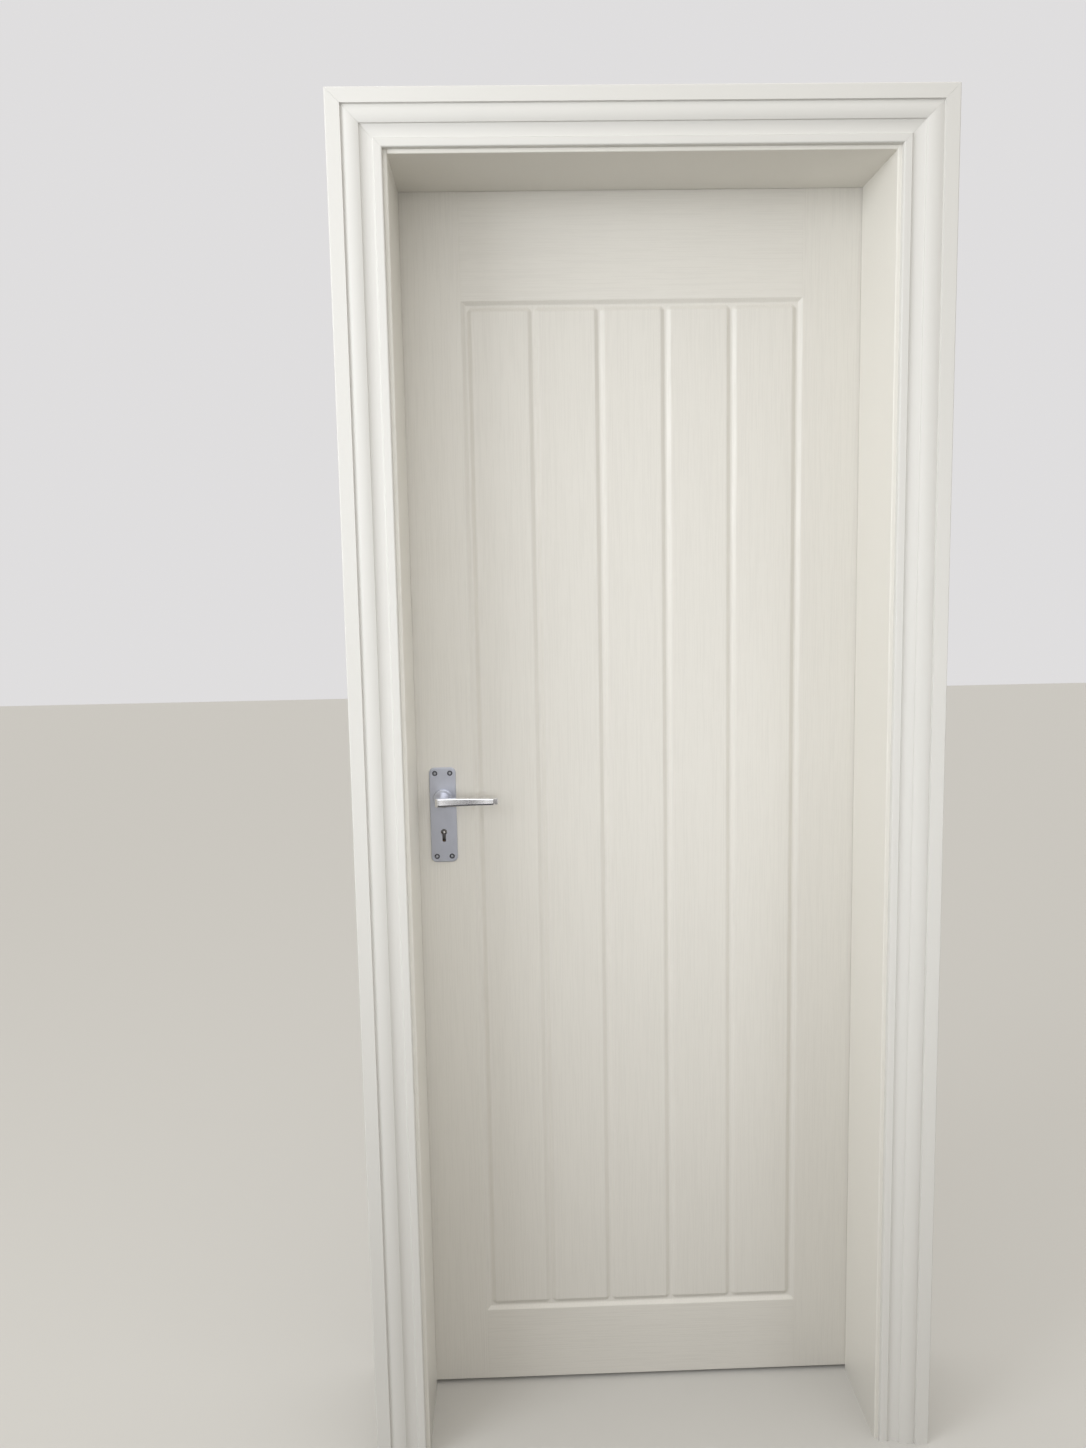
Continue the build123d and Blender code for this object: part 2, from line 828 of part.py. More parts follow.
def backplate():
    """The front backplate: rounded, with a raised boss and its hollow, about the leaf's front face."""
    centre = Pos(0, 0, plate_centre - handle_height)
    outline = RectangleRounded(plate_width, plate_height, plate_corner_radius)
    plate = to_front * extrude(outline, amount=plate_thickness)
    plate = chamfer(plate.edges().group_by(Axis.Y)[0], length=plate_edge_bevel)
    rise = plate_thickness + boss_height
    boss = to_front * Cylinder(boss_radius, rise, align=(Align.CENTER, Align.CENTER, Align.MIN))
    boss = chamfer(boss.edges().group_by(Axis.Y)[0], length=boss_edge_bevel)
    plate = centre * plate + boss
    plate -= to_front * Cylinder(shank_radius + running_clearance, rise * 3)
    plate -= to_front * Cylinder(circlip_recess_radius, 2 * circlip_recess_depth)
    key = to_front * extrude(keyhole(), amount=rise, both=True)
    plate -= Pos(0, 0, -key_centre_drop) * key
    plate = Pos(spindle_x, leaf_front, handle_height) * plate
    for hole in plate_screws(-1, screw_clearance):
        plate -= hole
    return plate


def lever_bar():
    """The hand bar: its bowed plan crossed with its tapering front view, with softened edges."""
    front = -lever_front_depth
    back = front + lever_thickness
    root = -lever_root_overhang
    corner = lever_root_radius
    turn = corner * (1 - math.sqrt(0.5))
    front_middle = ((root + lever_reach) / 2, front + lever_bow)
    back_middle = ((root + lever_reach) / 2, back + lever_bow / 2)
    plan = [
        ThreePointArc((root, front + corner), (root + turn, front + turn), (root + corner, front)),
        ThreePointArc((root + corner, front), front_middle, (lever_reach - lever_tip_length, front)),
        Line((lever_reach - lever_tip_length, front), (lever_reach, front + lever_tip_return)),
        Line((lever_reach, front + lever_tip_return), (lever_reach, back)),
        ThreePointArc((lever_reach, back), back_middle, (root + corner, back)),
        ThreePointArc((root + corner, back), (root + turn, back - turn), (root, back - corner)),
        Line((root, back - corner), (root, front + corner)),
    ]
    bar = extrude(make_face(plan), amount=lever_root_height, both=True)
    half_root = lever_root_height / 2
    half_tip = lever_tip_height / 2
    view = Polyline(
        (root - overrun, -half_root),
        (0, -half_root),
        (lever_reach + overrun, -half_tip),
        (lever_reach + overrun, half_tip),
        (0, half_root),
        (root - overrun, half_root),
        (root - overrun, -half_root),
    )
    bar &= extrude(Plane.XZ * make_face(view), amount=2 * lever_front_depth)
    long_edges = [edge for edge in bar.edges() if abs(edge.center().Z) > half_tip - lever_edge_bevel]
    return chamfer(long_edges, length=lever_edge_bevel)


def lever():
    """The front lever about the spindle's axis: shank, flared neck and hand bar."""
    neck_start = -(plate_thickness + boss_height + boss_running_gap)
    neck_end = lever_thickness / 2 - lever_front_depth
    middle_radius = neck_end_radius + (neck_root_radius - neck_end_radius) * neck_flare_share
    outline = [
        Line((0, neck_start), (neck_root_radius, neck_start)),
        ThreePointArc(
            (neck_root_radius, neck_start),
            (middle_radius, (neck_start + neck_end) / 2),
            (neck_end_radius, neck_end),
        ),
        Line((neck_end_radius, neck_end), (0, neck_end)),
        Line((0, neck_end), (0, neck_start)),
    ]
    neck = revolve(make_face(outline), axis=Axis.Y)
    shank = block_cylinder(shank_radius, neck_start, -shank_end_depth)
    groove_low = -circlip_depth - circlip_thickness - circlip_fit
    groove_high = -circlip_depth + circlip_fit
    groove = block_cylinder(shank_radius + overrun, groove_low, groove_high)
    floor_radius = shank_radius - circlip_groove_depth
    groove -= block_cylinder(floor_radius, groove_low - overrun, groove_high + overrun)
    side = spindle_side + spindle_fit
    socket = block(centred(0, side), (-spindle_socket_depth, 1), centred(0, side))
    body = neck + lever_bar() + shank - groove - socket
    drill = Cylinder(grub_radius, neck_root_radius * 2, align=(Align.CENTER, Align.CENTER, Align.MAX))
    body -= Pos(0, -grub_depth, 0) * drill
    return Pos(spindle_x, leaf_front, handle_height) * body


def block_cylinder(radius, start, end):
    """A cylinder along Y between two depths."""
    return Pos(0, (start + end) / 2, 0) * to_front * Cylinder(radius, abs(end - start))


def circlip():
    """The front lever's retaining ring, open on its lower side."""
    bore = shank_radius - circlip_groove_depth + spindle_fit / 2
    ring = rod(circlip_outer_radius, circlip_thickness) - rod(bore, circlip_thickness * 2, hollow=True)
    slot = (centred(0, circlip_slot), centred(0, circlip_thickness * 2), (-2 * circlip_outer_radius, 0))
    ring = to_front * ring - block(*slot)
    return Pos(spindle_x, leaf_front - circlip_depth - circlip_thickness / 2, handle_height) * ring


def grub_screw():
    """The front lever's grub screw, held on the spindle from below."""
    start = (spindle_side + spindle_fit + grub_length) / 2 + screw_clearance
    one = rod(grub_radius - screw_clearance, grub_length)
    return Pos(spindle_x, leaf_front - grub_depth, handle_height - start) * one


def spindle():
    """The square bar through both levers and the follower."""
    reach = leaf_thickness / 2 + spindle_socket_depth - spindle_end_gap
    return Pos(spindle_x, leaf_mid, handle_height) * Box(spindle_side, 2 * reach, spindle_side)


def to_back(part):
    """The same part on the leaf's other face."""
    return mirror(part, about=Plane.XZ.offset(-leaf_mid))


# Strike

def strike_span():
    """The lower and upper end of the strike plate."""
    middle = (latch_height_centre + deadbolt_centre) / 2
    return centred(middle, strike_height)


def strike_screws(grow=0.0):
    """The two screws of the strike plate."""
    low, high = strike_span()
    inset = (deadbolt_centre - deadbolt_height / 2 - low) / 2
    one = to_right * screw(wood_screw_head_radius, wood_screw_radius, strike_screw_length, grow)
    return [Pos(-rebate_face, leaf_mid, height) * one for height in (low + inset, high - inset)]


def strike_plate():
    """The keep on the latch jamb, with its two windows and a lip rolled back over the lining's rear edge."""
    low, high = strike_span()
    face = -rebate_face
    start = leaf_mid - strike_width_front
    plate = block((face - strike_thickness, face), (start, rear_plane), (low, high))
    lip_low = latch_height_centre - latch_height
    lip_high = latch_height_centre + latch_height
    inner = strike_lip_radius
    outer = inner + strike_thickness
    roll = Cylinder(outer, lip_high - lip_low) - Cylinder(inner, strike_height)
    roll &= Pos(outer, outer, 0) * Box(2 * outer, 2 * outer, strike_height)
    plate += Pos(face - outer, rear_plane, (lip_low + lip_high) / 2) * roll
    fit = strike_hole_clearance
    plate -= latch_window(face - strike_thickness - overrun, face + overrun, fit)
    plate -= deadbolt_window(face - strike_thickness - overrun, face + overrun, fit)
    for hole in strike_screws(screw_clearance):
        plate -= hole
    return plate


def strike_pocket():
    """What the latch jamb loses to the strike plate and the two bolts."""
    low, high = strike_span()
    face = -rebate_face
    fit = strike_hole_clearance
    pocket = block(
        (face - strike_thickness, face + overrun),
        (leaf_mid - strike_width_front - timber_fit, rear_plane + overrun),
        (low - timber_fit, high + timber_fit),
    )
    pocket += latch_window(face - strike_mortice_depth, face, 2 * fit)
    pocket += deadbolt_window(face - strike_mortice_depth, face, 2 * fit)
    lip_low = latch_height_centre - latch_height - timber_fit
    lip_high = latch_height_centre + latch_height + timber_fit
    depth = strike_lip_radius + strike_thickness
    lip_depths = (rear_plane - timber_fit, rear_plane + overrun)
    pocket += block((face - depth, face), lip_depths, (lip_low, lip_high))
    return pocket


# Everything above, put together and written out

def grouped(pieces):
    """Several separate solids in one file."""
    return Compound(children=[piece.solid() for piece in pieces])


def build_frame():
    """The lining, its architraves and what is fixed to them."""
    parts = {}
    front = architrave_set(-1, front_architrave_inner, soffit + architrave_quirk, front_plane)
    rear = architrave_set(1, rear_architrave_inner, head_rebate + architrave_quirk, rear_plane)
    for face, pieces in (("front", front), ("rear", rear)):
        for place, piece in zip(("head", "latch_leg", "hinge_leg"), pieces):
            parts["architrave_" + face + "_" + place] = piece
    hinge_jamb = lining_jamb()
    latch_jamb = mirror(hinge_jamb, about=Plane.YZ)
    head = lining_head()
    one = screw(head_screw_head_radius, head_screw_radius, head_screw_length)
    hole = screw(head_screw_head_radius, head_screw_radius, head_screw_length, screw_clearance)
    for place in head_screw_places():
        head -= Pos(*place) * hole
        latch_jamb -= Pos(*place) * hole
        hinge_jamb -= Pos(*place) * hole
    for hole in fixing_holes(-1):
        latch_jamb -= hole
    for hole in fixing_holes(1):
        hinge_jamb -= hole
    latch_jamb -= strike_pocket()
    for hole in strike_screws(screw_clearance):
        latch_jamb -= hole
    frame_screws = []
    for name, base in hinge_bases.items():
        hinge_jamb -= hinge_recess(base, False)
        for hole in hinge_screws(base, False, screw_clearance):
            hinge_jamb -= hole
        parts["hinge_" + name + "_frame_leaf"] = hinge_plate(base, False)
        parts["hinge_" + name + "_pin"] = hinge_pin(base)
        frame_screws += hinge_screws(base, False)
    parts["lining_head"] = head
    parts["lining_latch_jamb"] = latch_jamb
    parts["lining_hinge_jamb"] = hinge_jamb
    parts["lining_head_screws"] = grouped([Pos(*place) * one for place in head_screw_places()])
    parts["hinge_frame_screws"] = grouped(frame_screws)
    parts["strike_plate"] = strike_plate()
    parts["strike_screws"] = grouped(strike_screws())
    return parts


def finished_skin(blank, face):
    """The front (-1) or rear (1) skin, open for the lock furniture and let in for the hinges."""
    skin = Pos(0, leaf_mid, 0) * to_front * blank
    if face > 0:
        skin = to_back(skin)
        for base in hinge_bases.values():
            skin -= hinge_recess(base, True)
    for cut in lock_cuts_through_skin() + plate_screws(face, screw_clearance):
        skin -= cut
    return skin


def build_leaf():
    """The leaf's skins, timber and core, with its half of the hinges."""
    parts = {}
    inner = (leaf_front + skin_thickness, leaf_rear - skin_thickness)
    upright = (leaf_bottom, leaf_top)
    stile_inner = leaf_edge - frame_stile_width
    lock_stile = block((-leaf_edge, -stile_inner), inner, upright) - lock_mortice()
    for hole in forend_screws(screw_clearance):
        lock_stile -= hole
    block_span = (-stile_inner, -stile_inner + lock_block_width)
    lock_block = block(block_span, inner, centred(case_middle, lock_block_height)) - lock_mortice()
    both_plates = plate_screws(-1, screw_clearance) + plate_screws(1, screw_clearance)
    for cut in lock_cuts_through_skin() + both_plates:
        lock_block -= cut
    hinge_stile = block((stile_inner, leaf_edge), inner, upright)
    door_screws = []
    for name, base in hinge_bases.items():
        hinge_stile -= hinge_recess(base, True)
        for hole in hinge_screws(base, True, screw_clearance):
            hinge_stile -= hole
        parts["hinge_" + name + "_door_leaf"] = hinge_plate(base, True)
        door_screws += hinge_screws(base, True)
    blank = skin_blank()
    rail_across = (-stile_inner, stile_inner)
    parts["front_skin"] = finished_skin(blank, -1)
    parts["rear_skin"] = finished_skin(blank, 1)
    parts["lock_stile"] = lock_stile
    parts["hinge_stile"] = hinge_stile
    parts["lock_block"] = lock_block
    parts["top_rail"] = block(rail_across, inner, (leaf_top - frame_rail_height, leaf_top))
    parts["bottom_rail"] = block(rail_across, inner, (leaf_bottom, leaf_bottom + frame_rail_height))
    parts["honeycomb_core"] = honeycomb()
    parts["hinge_door_screws"] = grouped(door_screws)
    return parts


def build_lock():
    """The mortice lock and the lever furniture on both faces."""
    parts = {}
    parts["forend"] = forend()
    parts["forend_screws"] = grouped(forend_screws())
    parts["lock_case"] = lock_case()
    parts["lock_cover"] = lock_cover()
    parts["lock_cover_screws"] = grouped(cover_screws())
    parts["latch_bolt"] = latch_bolt()
    parts["latch_spring"] = latch_spring()
    parts["deadbolt"] = deadbolt()
    parts["follower"] = follower()
    parts["spindle"] = spindle()
    parts["front_backplate"] = backplate()
    parts["rear_backplate"] = to_back(backplate())
    parts["front_plate_screws"] = grouped(plate_screws(-1))
    parts["rear_plate_screws"] = grouped(plate_screws(1))
    parts["front_lever"] = lever()
    parts["rear_lever"] = to_back(lever())
    parts["front_circlip"] = circlip()
    parts["rear_circlip"] = to_back(circlip())
    parts["lever_grub_screws"] = grouped([grub_screw(), to_back(grub_screw())])
    return parts


os.makedirs("parts", exist_ok=True)
for build in (build_frame, build_leaf, build_lock):
    for node, shape in build().items():
        export_step(shape, "parts/" + node + ".step")
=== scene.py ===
"""The looks of a panelled door in its lining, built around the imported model.

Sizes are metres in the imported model's frame. X runs across the doorway towards the hinges, Y runs
through it from the front face to the rear face, and Z is up.
"""

import logging
import math
from dataclasses import dataclass, field
from enum import Enum
from typing import Any, Iterable, Mapping, Sequence, Union

import bmesh
import bpy
from mathutils import Euler, Matrix, Vector


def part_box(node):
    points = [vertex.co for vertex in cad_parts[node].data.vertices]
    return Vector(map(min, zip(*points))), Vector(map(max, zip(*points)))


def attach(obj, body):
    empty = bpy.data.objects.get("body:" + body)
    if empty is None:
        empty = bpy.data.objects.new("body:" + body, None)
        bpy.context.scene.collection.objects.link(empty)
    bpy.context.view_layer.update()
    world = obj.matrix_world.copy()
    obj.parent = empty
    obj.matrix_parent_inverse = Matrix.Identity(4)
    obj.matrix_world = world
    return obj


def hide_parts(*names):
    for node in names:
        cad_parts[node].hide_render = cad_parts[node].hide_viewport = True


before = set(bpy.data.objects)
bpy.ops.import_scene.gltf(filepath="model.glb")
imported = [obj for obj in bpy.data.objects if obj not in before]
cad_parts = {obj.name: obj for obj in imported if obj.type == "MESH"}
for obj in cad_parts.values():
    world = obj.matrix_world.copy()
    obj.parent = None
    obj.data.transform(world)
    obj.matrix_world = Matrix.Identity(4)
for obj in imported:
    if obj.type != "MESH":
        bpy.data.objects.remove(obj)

log = logging.getLogger("panelled_door")

Colour = tuple[float, float, float]
Place = tuple[float, float, float]
Point = tuple[float, float]
Pair = tuple[float, float]

# Points nearer to each other than this are one point.
SAME_PLACE = 0.00001
# An edge of a solid that turns by more degrees than these is shaded as a corner, and is softened.
CORNER_TURN = 30.0
BEVEL_TURN = 35.0
# The most of a rectangle's half side that a round corner takes.
LARGEST_ROUND = 0.98
# How far the keyholes are below the spindle.
KEY_DROP = 0.057
HINGES = ("top", "middle", "bottom")


class Axis(Enum):
    """The axis that a grain or a brush stroke follows."""

    ACROSS = 0
    UP = 2


class Face(Enum):
    """Which side of the doorway a piece is on; the value points out of that side along Y."""

    FRONT = -1
    REAR = 1

    def node(self, piece: str) -> str:
        """Returns the name of this side's node of a piece."""
        return f"{self.name.lower()}_{piece}"

    def sides(self, node: str) -> Pair:
        """Returns the inner and the outer side of a CAD node's box."""
        low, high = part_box(node)
        return (high.y, low.y) if self is Face.FRONT else (low.y, high.y)


class Body(Enum):
    """The bodies that new pieces ride on."""

    FRAME = "frame"
    LEAF = "leaf"
    HANDLES = "handles"


# Shader maths


class Signal:
    """A value on its way between shader nodes, with the operators that the finishes use."""

    def __init__(self, graph: "Graph", socket: bpy.types.NodeSocket) -> None:
        """Wraps an output socket.

        Args:
            graph: The node tree that the socket is in.
            socket: The output that the value comes from.
        """
        self.graph = graph
        self.socket = socket

    def _math(self, operation: str, first: "Level", second: "Level" = 0.0) -> "Signal":
        """Adds a Math node.

        Args:
            operation: The node's operation.
            first: Its first value.
            second: Its second value.

        Returns:
            The node's result.
        """
        return self.graph.signal("ShaderNodeMath", {"operation": operation}, {0: first, 1: second})

    def __add__(self, other: "Level") -> "Signal":
        """Returns the sum."""
        return self._math("ADD", self, other)

    def __radd__(self, other: "Level") -> "Signal":
        """Returns the sum with a number on the left."""
        return self._math("ADD", other, self)

    def __sub__(self, other: "Level") -> "Signal":
        """Returns the difference."""
        return self._math("SUBTRACT", self, other)

    def __rsub__(self, other: "Level") -> "Signal":
        """Returns the difference with a number on the left."""
        return self._math("SUBTRACT", other, self)

    def __mul__(self, other: "Level") -> "Signal":
        """Returns the product."""
        return self._math("MULTIPLY", self, other)

    def __rmul__(self, other: "Level") -> "Signal":
        """Returns the product with a number on the left."""
        return self._math("MULTIPLY", other, self)

    def __abs__(self) -> "Signal":
        """Returns the size without its sign."""
        return self._math("ABSOLUTE", self)

    def above(self, limit: float) -> "Signal":
        """Returns 1 where the value is over the limit, and 0 elsewhere."""
        return self._math("GREATER_THAN", self, limit)

    def ramp(self, start: float, end: float, low: float = 0.0, high: float = 1.0) -> "Signal":
        """Turns the value into an eased step.

        Args:
            start: The value at which the step starts.
            end: The value at which it ends.
            low: The result before the step.
            high: The result after it.

        Returns:
            The eased value, held at both ends.
        """
        settings = {"interpolation_type": "SMOOTHSTEP", "clamp": True}
        inputs = {"Value": self, "From Min": start, "From Max": end, "To Min": low, "To Max": high}
        return self.graph.signal("ShaderNodeMapRange", settings, inputs)


Level = Union[Signal, float]
Tint = Union[Signal, Colour]
Key = Union[int, str]


@dataclass(frozen=True)
class Grain:
    """Noise with its cells in a metre across and down a grain, its finer layers and their strength.

    An eased step is taken of it between the two ends of its step, where it has one.
    """

    across: float
    down: float
    layers: float = 2.0
    strength: float = 0.5
    step: Pair = (0.0, 0.0)


class Graph:
    """A node tree that is being filled."""

    def __init__(self, tree: bpy.types.NodeTree) -> None:
        """Empties the tree.

        Args:
            tree: The tree of a material or of the world.
        """
        self.tree = tree
        self.tree.nodes.clear()

    def node(self, kind: str, settings: Mapping[str, Any], inputs: Mapping[Key, Any]) -> bpy.types.Node:
        """Adds one node.

        Args:
            kind: The node's type.
            settings: Its settings, which are set before its sockets.
            inputs: A value or a Signal for each socket that is used.

        Returns:
            The new node.
        """
        made = self.tree.nodes.new(kind)
        for name, value in settings.items():
            setattr(made, name, value)
        for key, value in inputs.items():
            socket = made.inputs[key]
            if isinstance(value, Signal):
                self.tree.links.new(value.socket, socket)
            elif socket.type == "RGBA":
                socket.default_value = (*value, 1.0)
            else:
                socket.default_value = value
        return made

    def signal(
        self, kind: str, settings: Mapping[str, Any], inputs: Mapping[Key, Any], output: Key = 0
    ) -> Signal:
        """Adds one node and returns one of its outputs.

        Args:
            kind: The node's type.
            settings: Its settings.
            inputs: A value or a Signal for each socket that is used.
            output: The output's place or name.

        Returns:
            That output.
        """
        return Signal(self, self.node(kind, settings, inputs).outputs[output])

    def place(self) -> Signal:
        """Returns the point on the piece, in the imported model's frame at rest."""
        return self.signal("ShaderNodeTexCoord", {}, {}, "Object")

    def outputs(self, kind: str, inputs: Mapping[Key, Any], *names: Key) -> list[Signal]:
        """Adds one node and returns some of its outputs."""
        made = self.node(kind, {}, inputs)
        return [Signal(self, made.outputs[name]) for name in names]

    def split(self, vector: Signal) -> list[Signal]:
        """Returns a vector's three coordinates."""
        return self.outputs("ShaderNodeSeparateXYZ", {0: vector}, 0, 1, 2)

    def rays(self) -> list[Signal]:
        """Returns a value that is 1 on the camera's rays, and one that is 1 on mirrored rays."""
        return self.outputs("ShaderNodeLightPath", {}, "Is Camera Ray", "Is Glossy Ray")

    def noise(self, grain: Grain, along: Axis = Axis.UP) -> Signal:
        """Adds a grain's noise.

        Args:
            grain: The grain.
            along: The axis that it runs down.

        Returns:
            The noise, from 0 to 1.
        """
        cells = [grain.across] * 3
        cells[along.value] = grain.down
        stretch = {"operation": "MULTIPLY"}
        place = self.signal("ShaderNodeVectorMath", stretch, {0: self.place(), 1: cells})
        inputs = {"Vector": place, "Scale": 1.0, "Detail": grain.layers, "Roughness": grain.strength}
        noise = self.signal("ShaderNodeTexNoise", {}, inputs)
        return noise.ramp(*grain.step) if any(grain.step) else noise

    def blend(self, share: Level, first: Tint, second: Tint) -> Signal:
        """Mixes two colours.

        Args:
            share: How much of the second colour shows.
            first: The first colour.
            second: The second colour.

        Returns:
            The mixed colour.
        """
        return self.signal("ShaderNodeMix", {"data_type": "RGBA"}, {0: share, 6: first, 7: second}, 2)


class Coat:
    """A material that is being made."""

    def __init__(self, name: str) -> None:
        """Starts a material.

        Args:
            name: The material's name.
        """
        self.material = bpy.data.materials.new(name)
        self.material.use_nodes = True
        self.graph = Graph(self.material.node_tree)

    def surface(
        self,
        tint: Tint,
        roughness: Level,
        height: Signal,
        relief: float,
        metallic: float = 0.0,
        gloss: float = 0.5,
    ) -> bpy.types.Material:
        """Ends the material with its surface.

        Args:
            tint: The base colour.
            roughness: The roughness.
            height: The uneven surface, from 0 to 1.
            relief: What a height of 1 stands for, in metres.
            metallic: 1 for bare metal.
            gloss: The specular level.

        Returns:
            The finished material.
        """
        bump = {"Strength": 1.0, "Distance": relief, "Height": height}
        inputs = {
            "Base Color": tint,
            "Roughness": roughness,
            "Metallic": metallic,
            "Specular IOR Level": gloss,
            "Normal": self.graph.signal("ShaderNodeBump", {}, bump),
        }
        shader = self.graph.signal("ShaderNodeBsdfPrincipled", {}, inputs)
        self.graph.node("ShaderNodeOutputMaterial", {}, {"Surface": shader})
        return self.material


def scaled(colour: Colour, share: float) -> Colour:
    """Returns the colour with each channel times the share."""
    return (colour[0] * share, colour[1] * share, colour[2] * share)


def grey(level: float) -> Colour:
    """Returns a grey with that level on each channel."""
    return (level, level, level)


# Finishes


@dataclass(frozen=True)
class MouldedPaint:
    """Satin paint over a skin pressed with a grain, upright on stiles and boards and level on rails."""

    colour: Colour
    stile_inner: float
    panel_low: float
    panel_high: float
    joint_width: float = 0.0042
    joint_line: float = 0.0007
    joint_depth: float = 1.6
    pores: Grain = Grain(620.0, 13.0, 2.0, 0.6, (0.36, 0.62))
    bands: Grain = Grain(90.0, 2.2, 3.0, 0.55)
    pore_share: float = 0.62
    drift: Grain = Grain(1.7, 1.1, step=(0.3, 0.7))
    hollows: Pair = (0.1, 0.7)
    drift_shade: float = 0.975
    # Painted shade: the grain's hollows are tinted darker by these two.
    painted_hollow_shade: float = 0.72
    painted_hollow_share: float = 0.12
    relief: float = 0.00013
    roughness: float = 0.36
    hollow_rough: float = 0.10
    drift_rough: float = 0.05
    gloss: float = 0.5

    def grain(self, graph: Graph, along: Axis) -> Signal:
        """Builds the pressed grain along one axis.

        Args:
            graph: The material's nodes.
            along: The axis of the grain.

        Returns:
            The height of the grain, from 0 to 1.
        """
        pores = graph.noise(self.pores, along) * self.pore_share
        return pores + graph.noise(self.bands, along) * (1 - self.pore_share)

    def joint(self, across: Signal, outside: Signal) -> Signal:
        """Builds the two fine lines at each joint between a rail and a stile.

        Args:
            across: The distance from the middle of the leaf.
            outside: 1 above and below the panel.

        Returns:
            1 on the lines and 0 elsewhere.
        """
        middle = abs(across - (self.stile_inner + self.joint_width / 2))
        return abs(middle - self.joint_width / 2).ramp(0.0, self.joint_line, 1.0, 0.0) * outside

    def material(self) -> bpy.types.Material:
        """Builds the paint.

        Returns:
            The paint.
        """
        coat = Coat("moulded_skin_paint")
        graph = coat.graph
        x, _, z = graph.split(graph.place())
        across = abs(x)
        outside = z.above(self.panel_high) + (1.0 - z.above(self.panel_low))
        on_rail = (1.0 - across.above(self.stile_inner)) * outside
        level = self.grain(graph, Axis.ACROSS)
        upright = self.grain(graph, Axis.UP)
        grain = level * on_rail + upright * (1.0 - on_rail)
        height = grain - self.joint(across, outside) * self.joint_depth
        drift = graph.noise(self.drift)
        # Painted shade: the colour darkens where the pressed grain is low.
        hollow = 1.0 - grain.ramp(*self.hollows)
        tint = graph.blend(drift, scaled(self.colour, self.drift_shade), self.colour)
        tint = graph.blend(self.painted_hollow_share * hollow, tint, scaled(self.colour, self.painted_hollow_shade))
        roughness = self.roughness + self.hollow_rough * hollow + self.drift_rough * drift
        return coat.surface(tint, roughness, height, self.relief, gloss=self.gloss)


@dataclass(frozen=True)
class BrushedPaint:
    """Satin paint brushed along a piece of joinery."""

    name: str
    colour: Colour
    along: Axis
    strokes: Grain = Grain(420.0, 5.0, 3.0, 0.6)
    waves: Grain = Grain(38.0, 3.0)
    stroke_share: float = 0.55
    drift: Grain = Grain(2.3, 1.3, step=(0.3, 0.7))
    ridges: Pair = (0.55, 0.8)
    drift_shade: float = 0.98
    ridge_shade: float = 0.85
    ridge_share: float = 0.05
    relief: float = 0.00004
    roughness: float = 0.40
    stroke_rough: float = 0.12
    gloss: float = 0.45

    def material(self) -> bpy.types.Material:
        """Builds the paint.

        Returns:
            The paint.
        """
        coat = Coat(f"{self.name}_{self.along.name.lower()}")
        graph = coat.graph
        strokes = graph.noise(self.strokes, self.along)
        waves = graph.noise(self.waves, self.along)
        height = strokes * self.stroke_share + waves * (1 - self.stroke_share)
        tint = graph.blend(graph.noise(self.drift), scaled(self.colour, self.drift_shade), self.colour)
        ridges = strokes.ramp(*self.ridges) * self.ridge_share
        tint = graph.blend(ridges, tint, scaled(self.colour, self.ridge_shade))
        roughness = self.roughness + self.stroke_rough * strokes
        return coat.surface(tint, roughness, height, self.relief, gloss=self.gloss)


def brushed_pair(name: str, colour: Colour) -> list[bpy.types.Material]:
    """Makes one brushed paint for upright pieces and one for level pieces."""
    return [BrushedPaint(name, colour, along).material() for along in (Axis.UP, Axis.ACROSS)]


@dataclass(frozen=True)
class SatinMetal:
    """Bare metal with a fine satin tooth and a little tarnish."""

    name: str
    colour: Colour
    roughness: float
    tooth: Grain = Grain(2600.0, 2600.0, 2.0, 0.6)
    clouds: Grain = Grain(55.0, 38.0, 3.0, 0.55, (0.32, 0.72))
    tarnish: float = 0.12
    tarnish_shade: float = 0.6
    relief: float = 0.000008
    cloud_rough: float = 0.10
    tooth_rough: float = 0.06

    def material(self) -> bpy.types.Material:
        """Builds the metal.

        Returns:
            The metal.
        """
        coat = Coat(self.name)
        tooth, clouds = coat.graph.noise(self.tooth), coat.graph.noise(self.clouds)
        tarnish_and_painted_shade = scaled(self.colour, self.tarnish_shade)
        tint = coat.graph.blend(clouds * self.tarnish, self.colour, tarnish_and_painted_shade)
        roughness = self.roughness + self.cloud_rough * clouds + self.tooth_rough * tooth
        return coat.surface(tint, roughness, tooth, self.relief, metallic=1.0)


@dataclass(frozen=True)
class BareSoftwood:
    """Sawn softwood with its growth rings."""

    along: Axis
    early: Colour = (0.62, 0.45, 0.27)
    late: Colour = (0.40, 0.25, 0.12)
    rings: Grain = Grain(130.0, 3.0, 3.0, 0.55, (0.42, 0.62))
    fibres: Grain = Grain(1400.0, 30.0, 2.0, 0.6)
    fibre_shade: float = 0.8
    fibre_share: float = 0.25
    relief: float = 0.00006
    roughness: float = 0.72
    fibre_rough: float = 0.1
    gloss: float = 0.3

    def material(self) -> bpy.types.Material:
        """Builds the timber.

        Returns:
            The timber.
        """
        coat = Coat(f"bare_softwood_{self.along.name.lower()}")
        fibres = coat.graph.noise(self.fibres, self.along)
        tint = coat.graph.blend(coat.graph.noise(self.rings, self.along), self.early, self.late)
        tint = coat.graph.blend(self.fibre_share * fibres, tint, scaled(self.late, self.fibre_shade))
        roughness = self.roughness + self.fibre_rough * fibres
        return coat.surface(tint, roughness, fibres, self.relief, gloss=self.gloss)


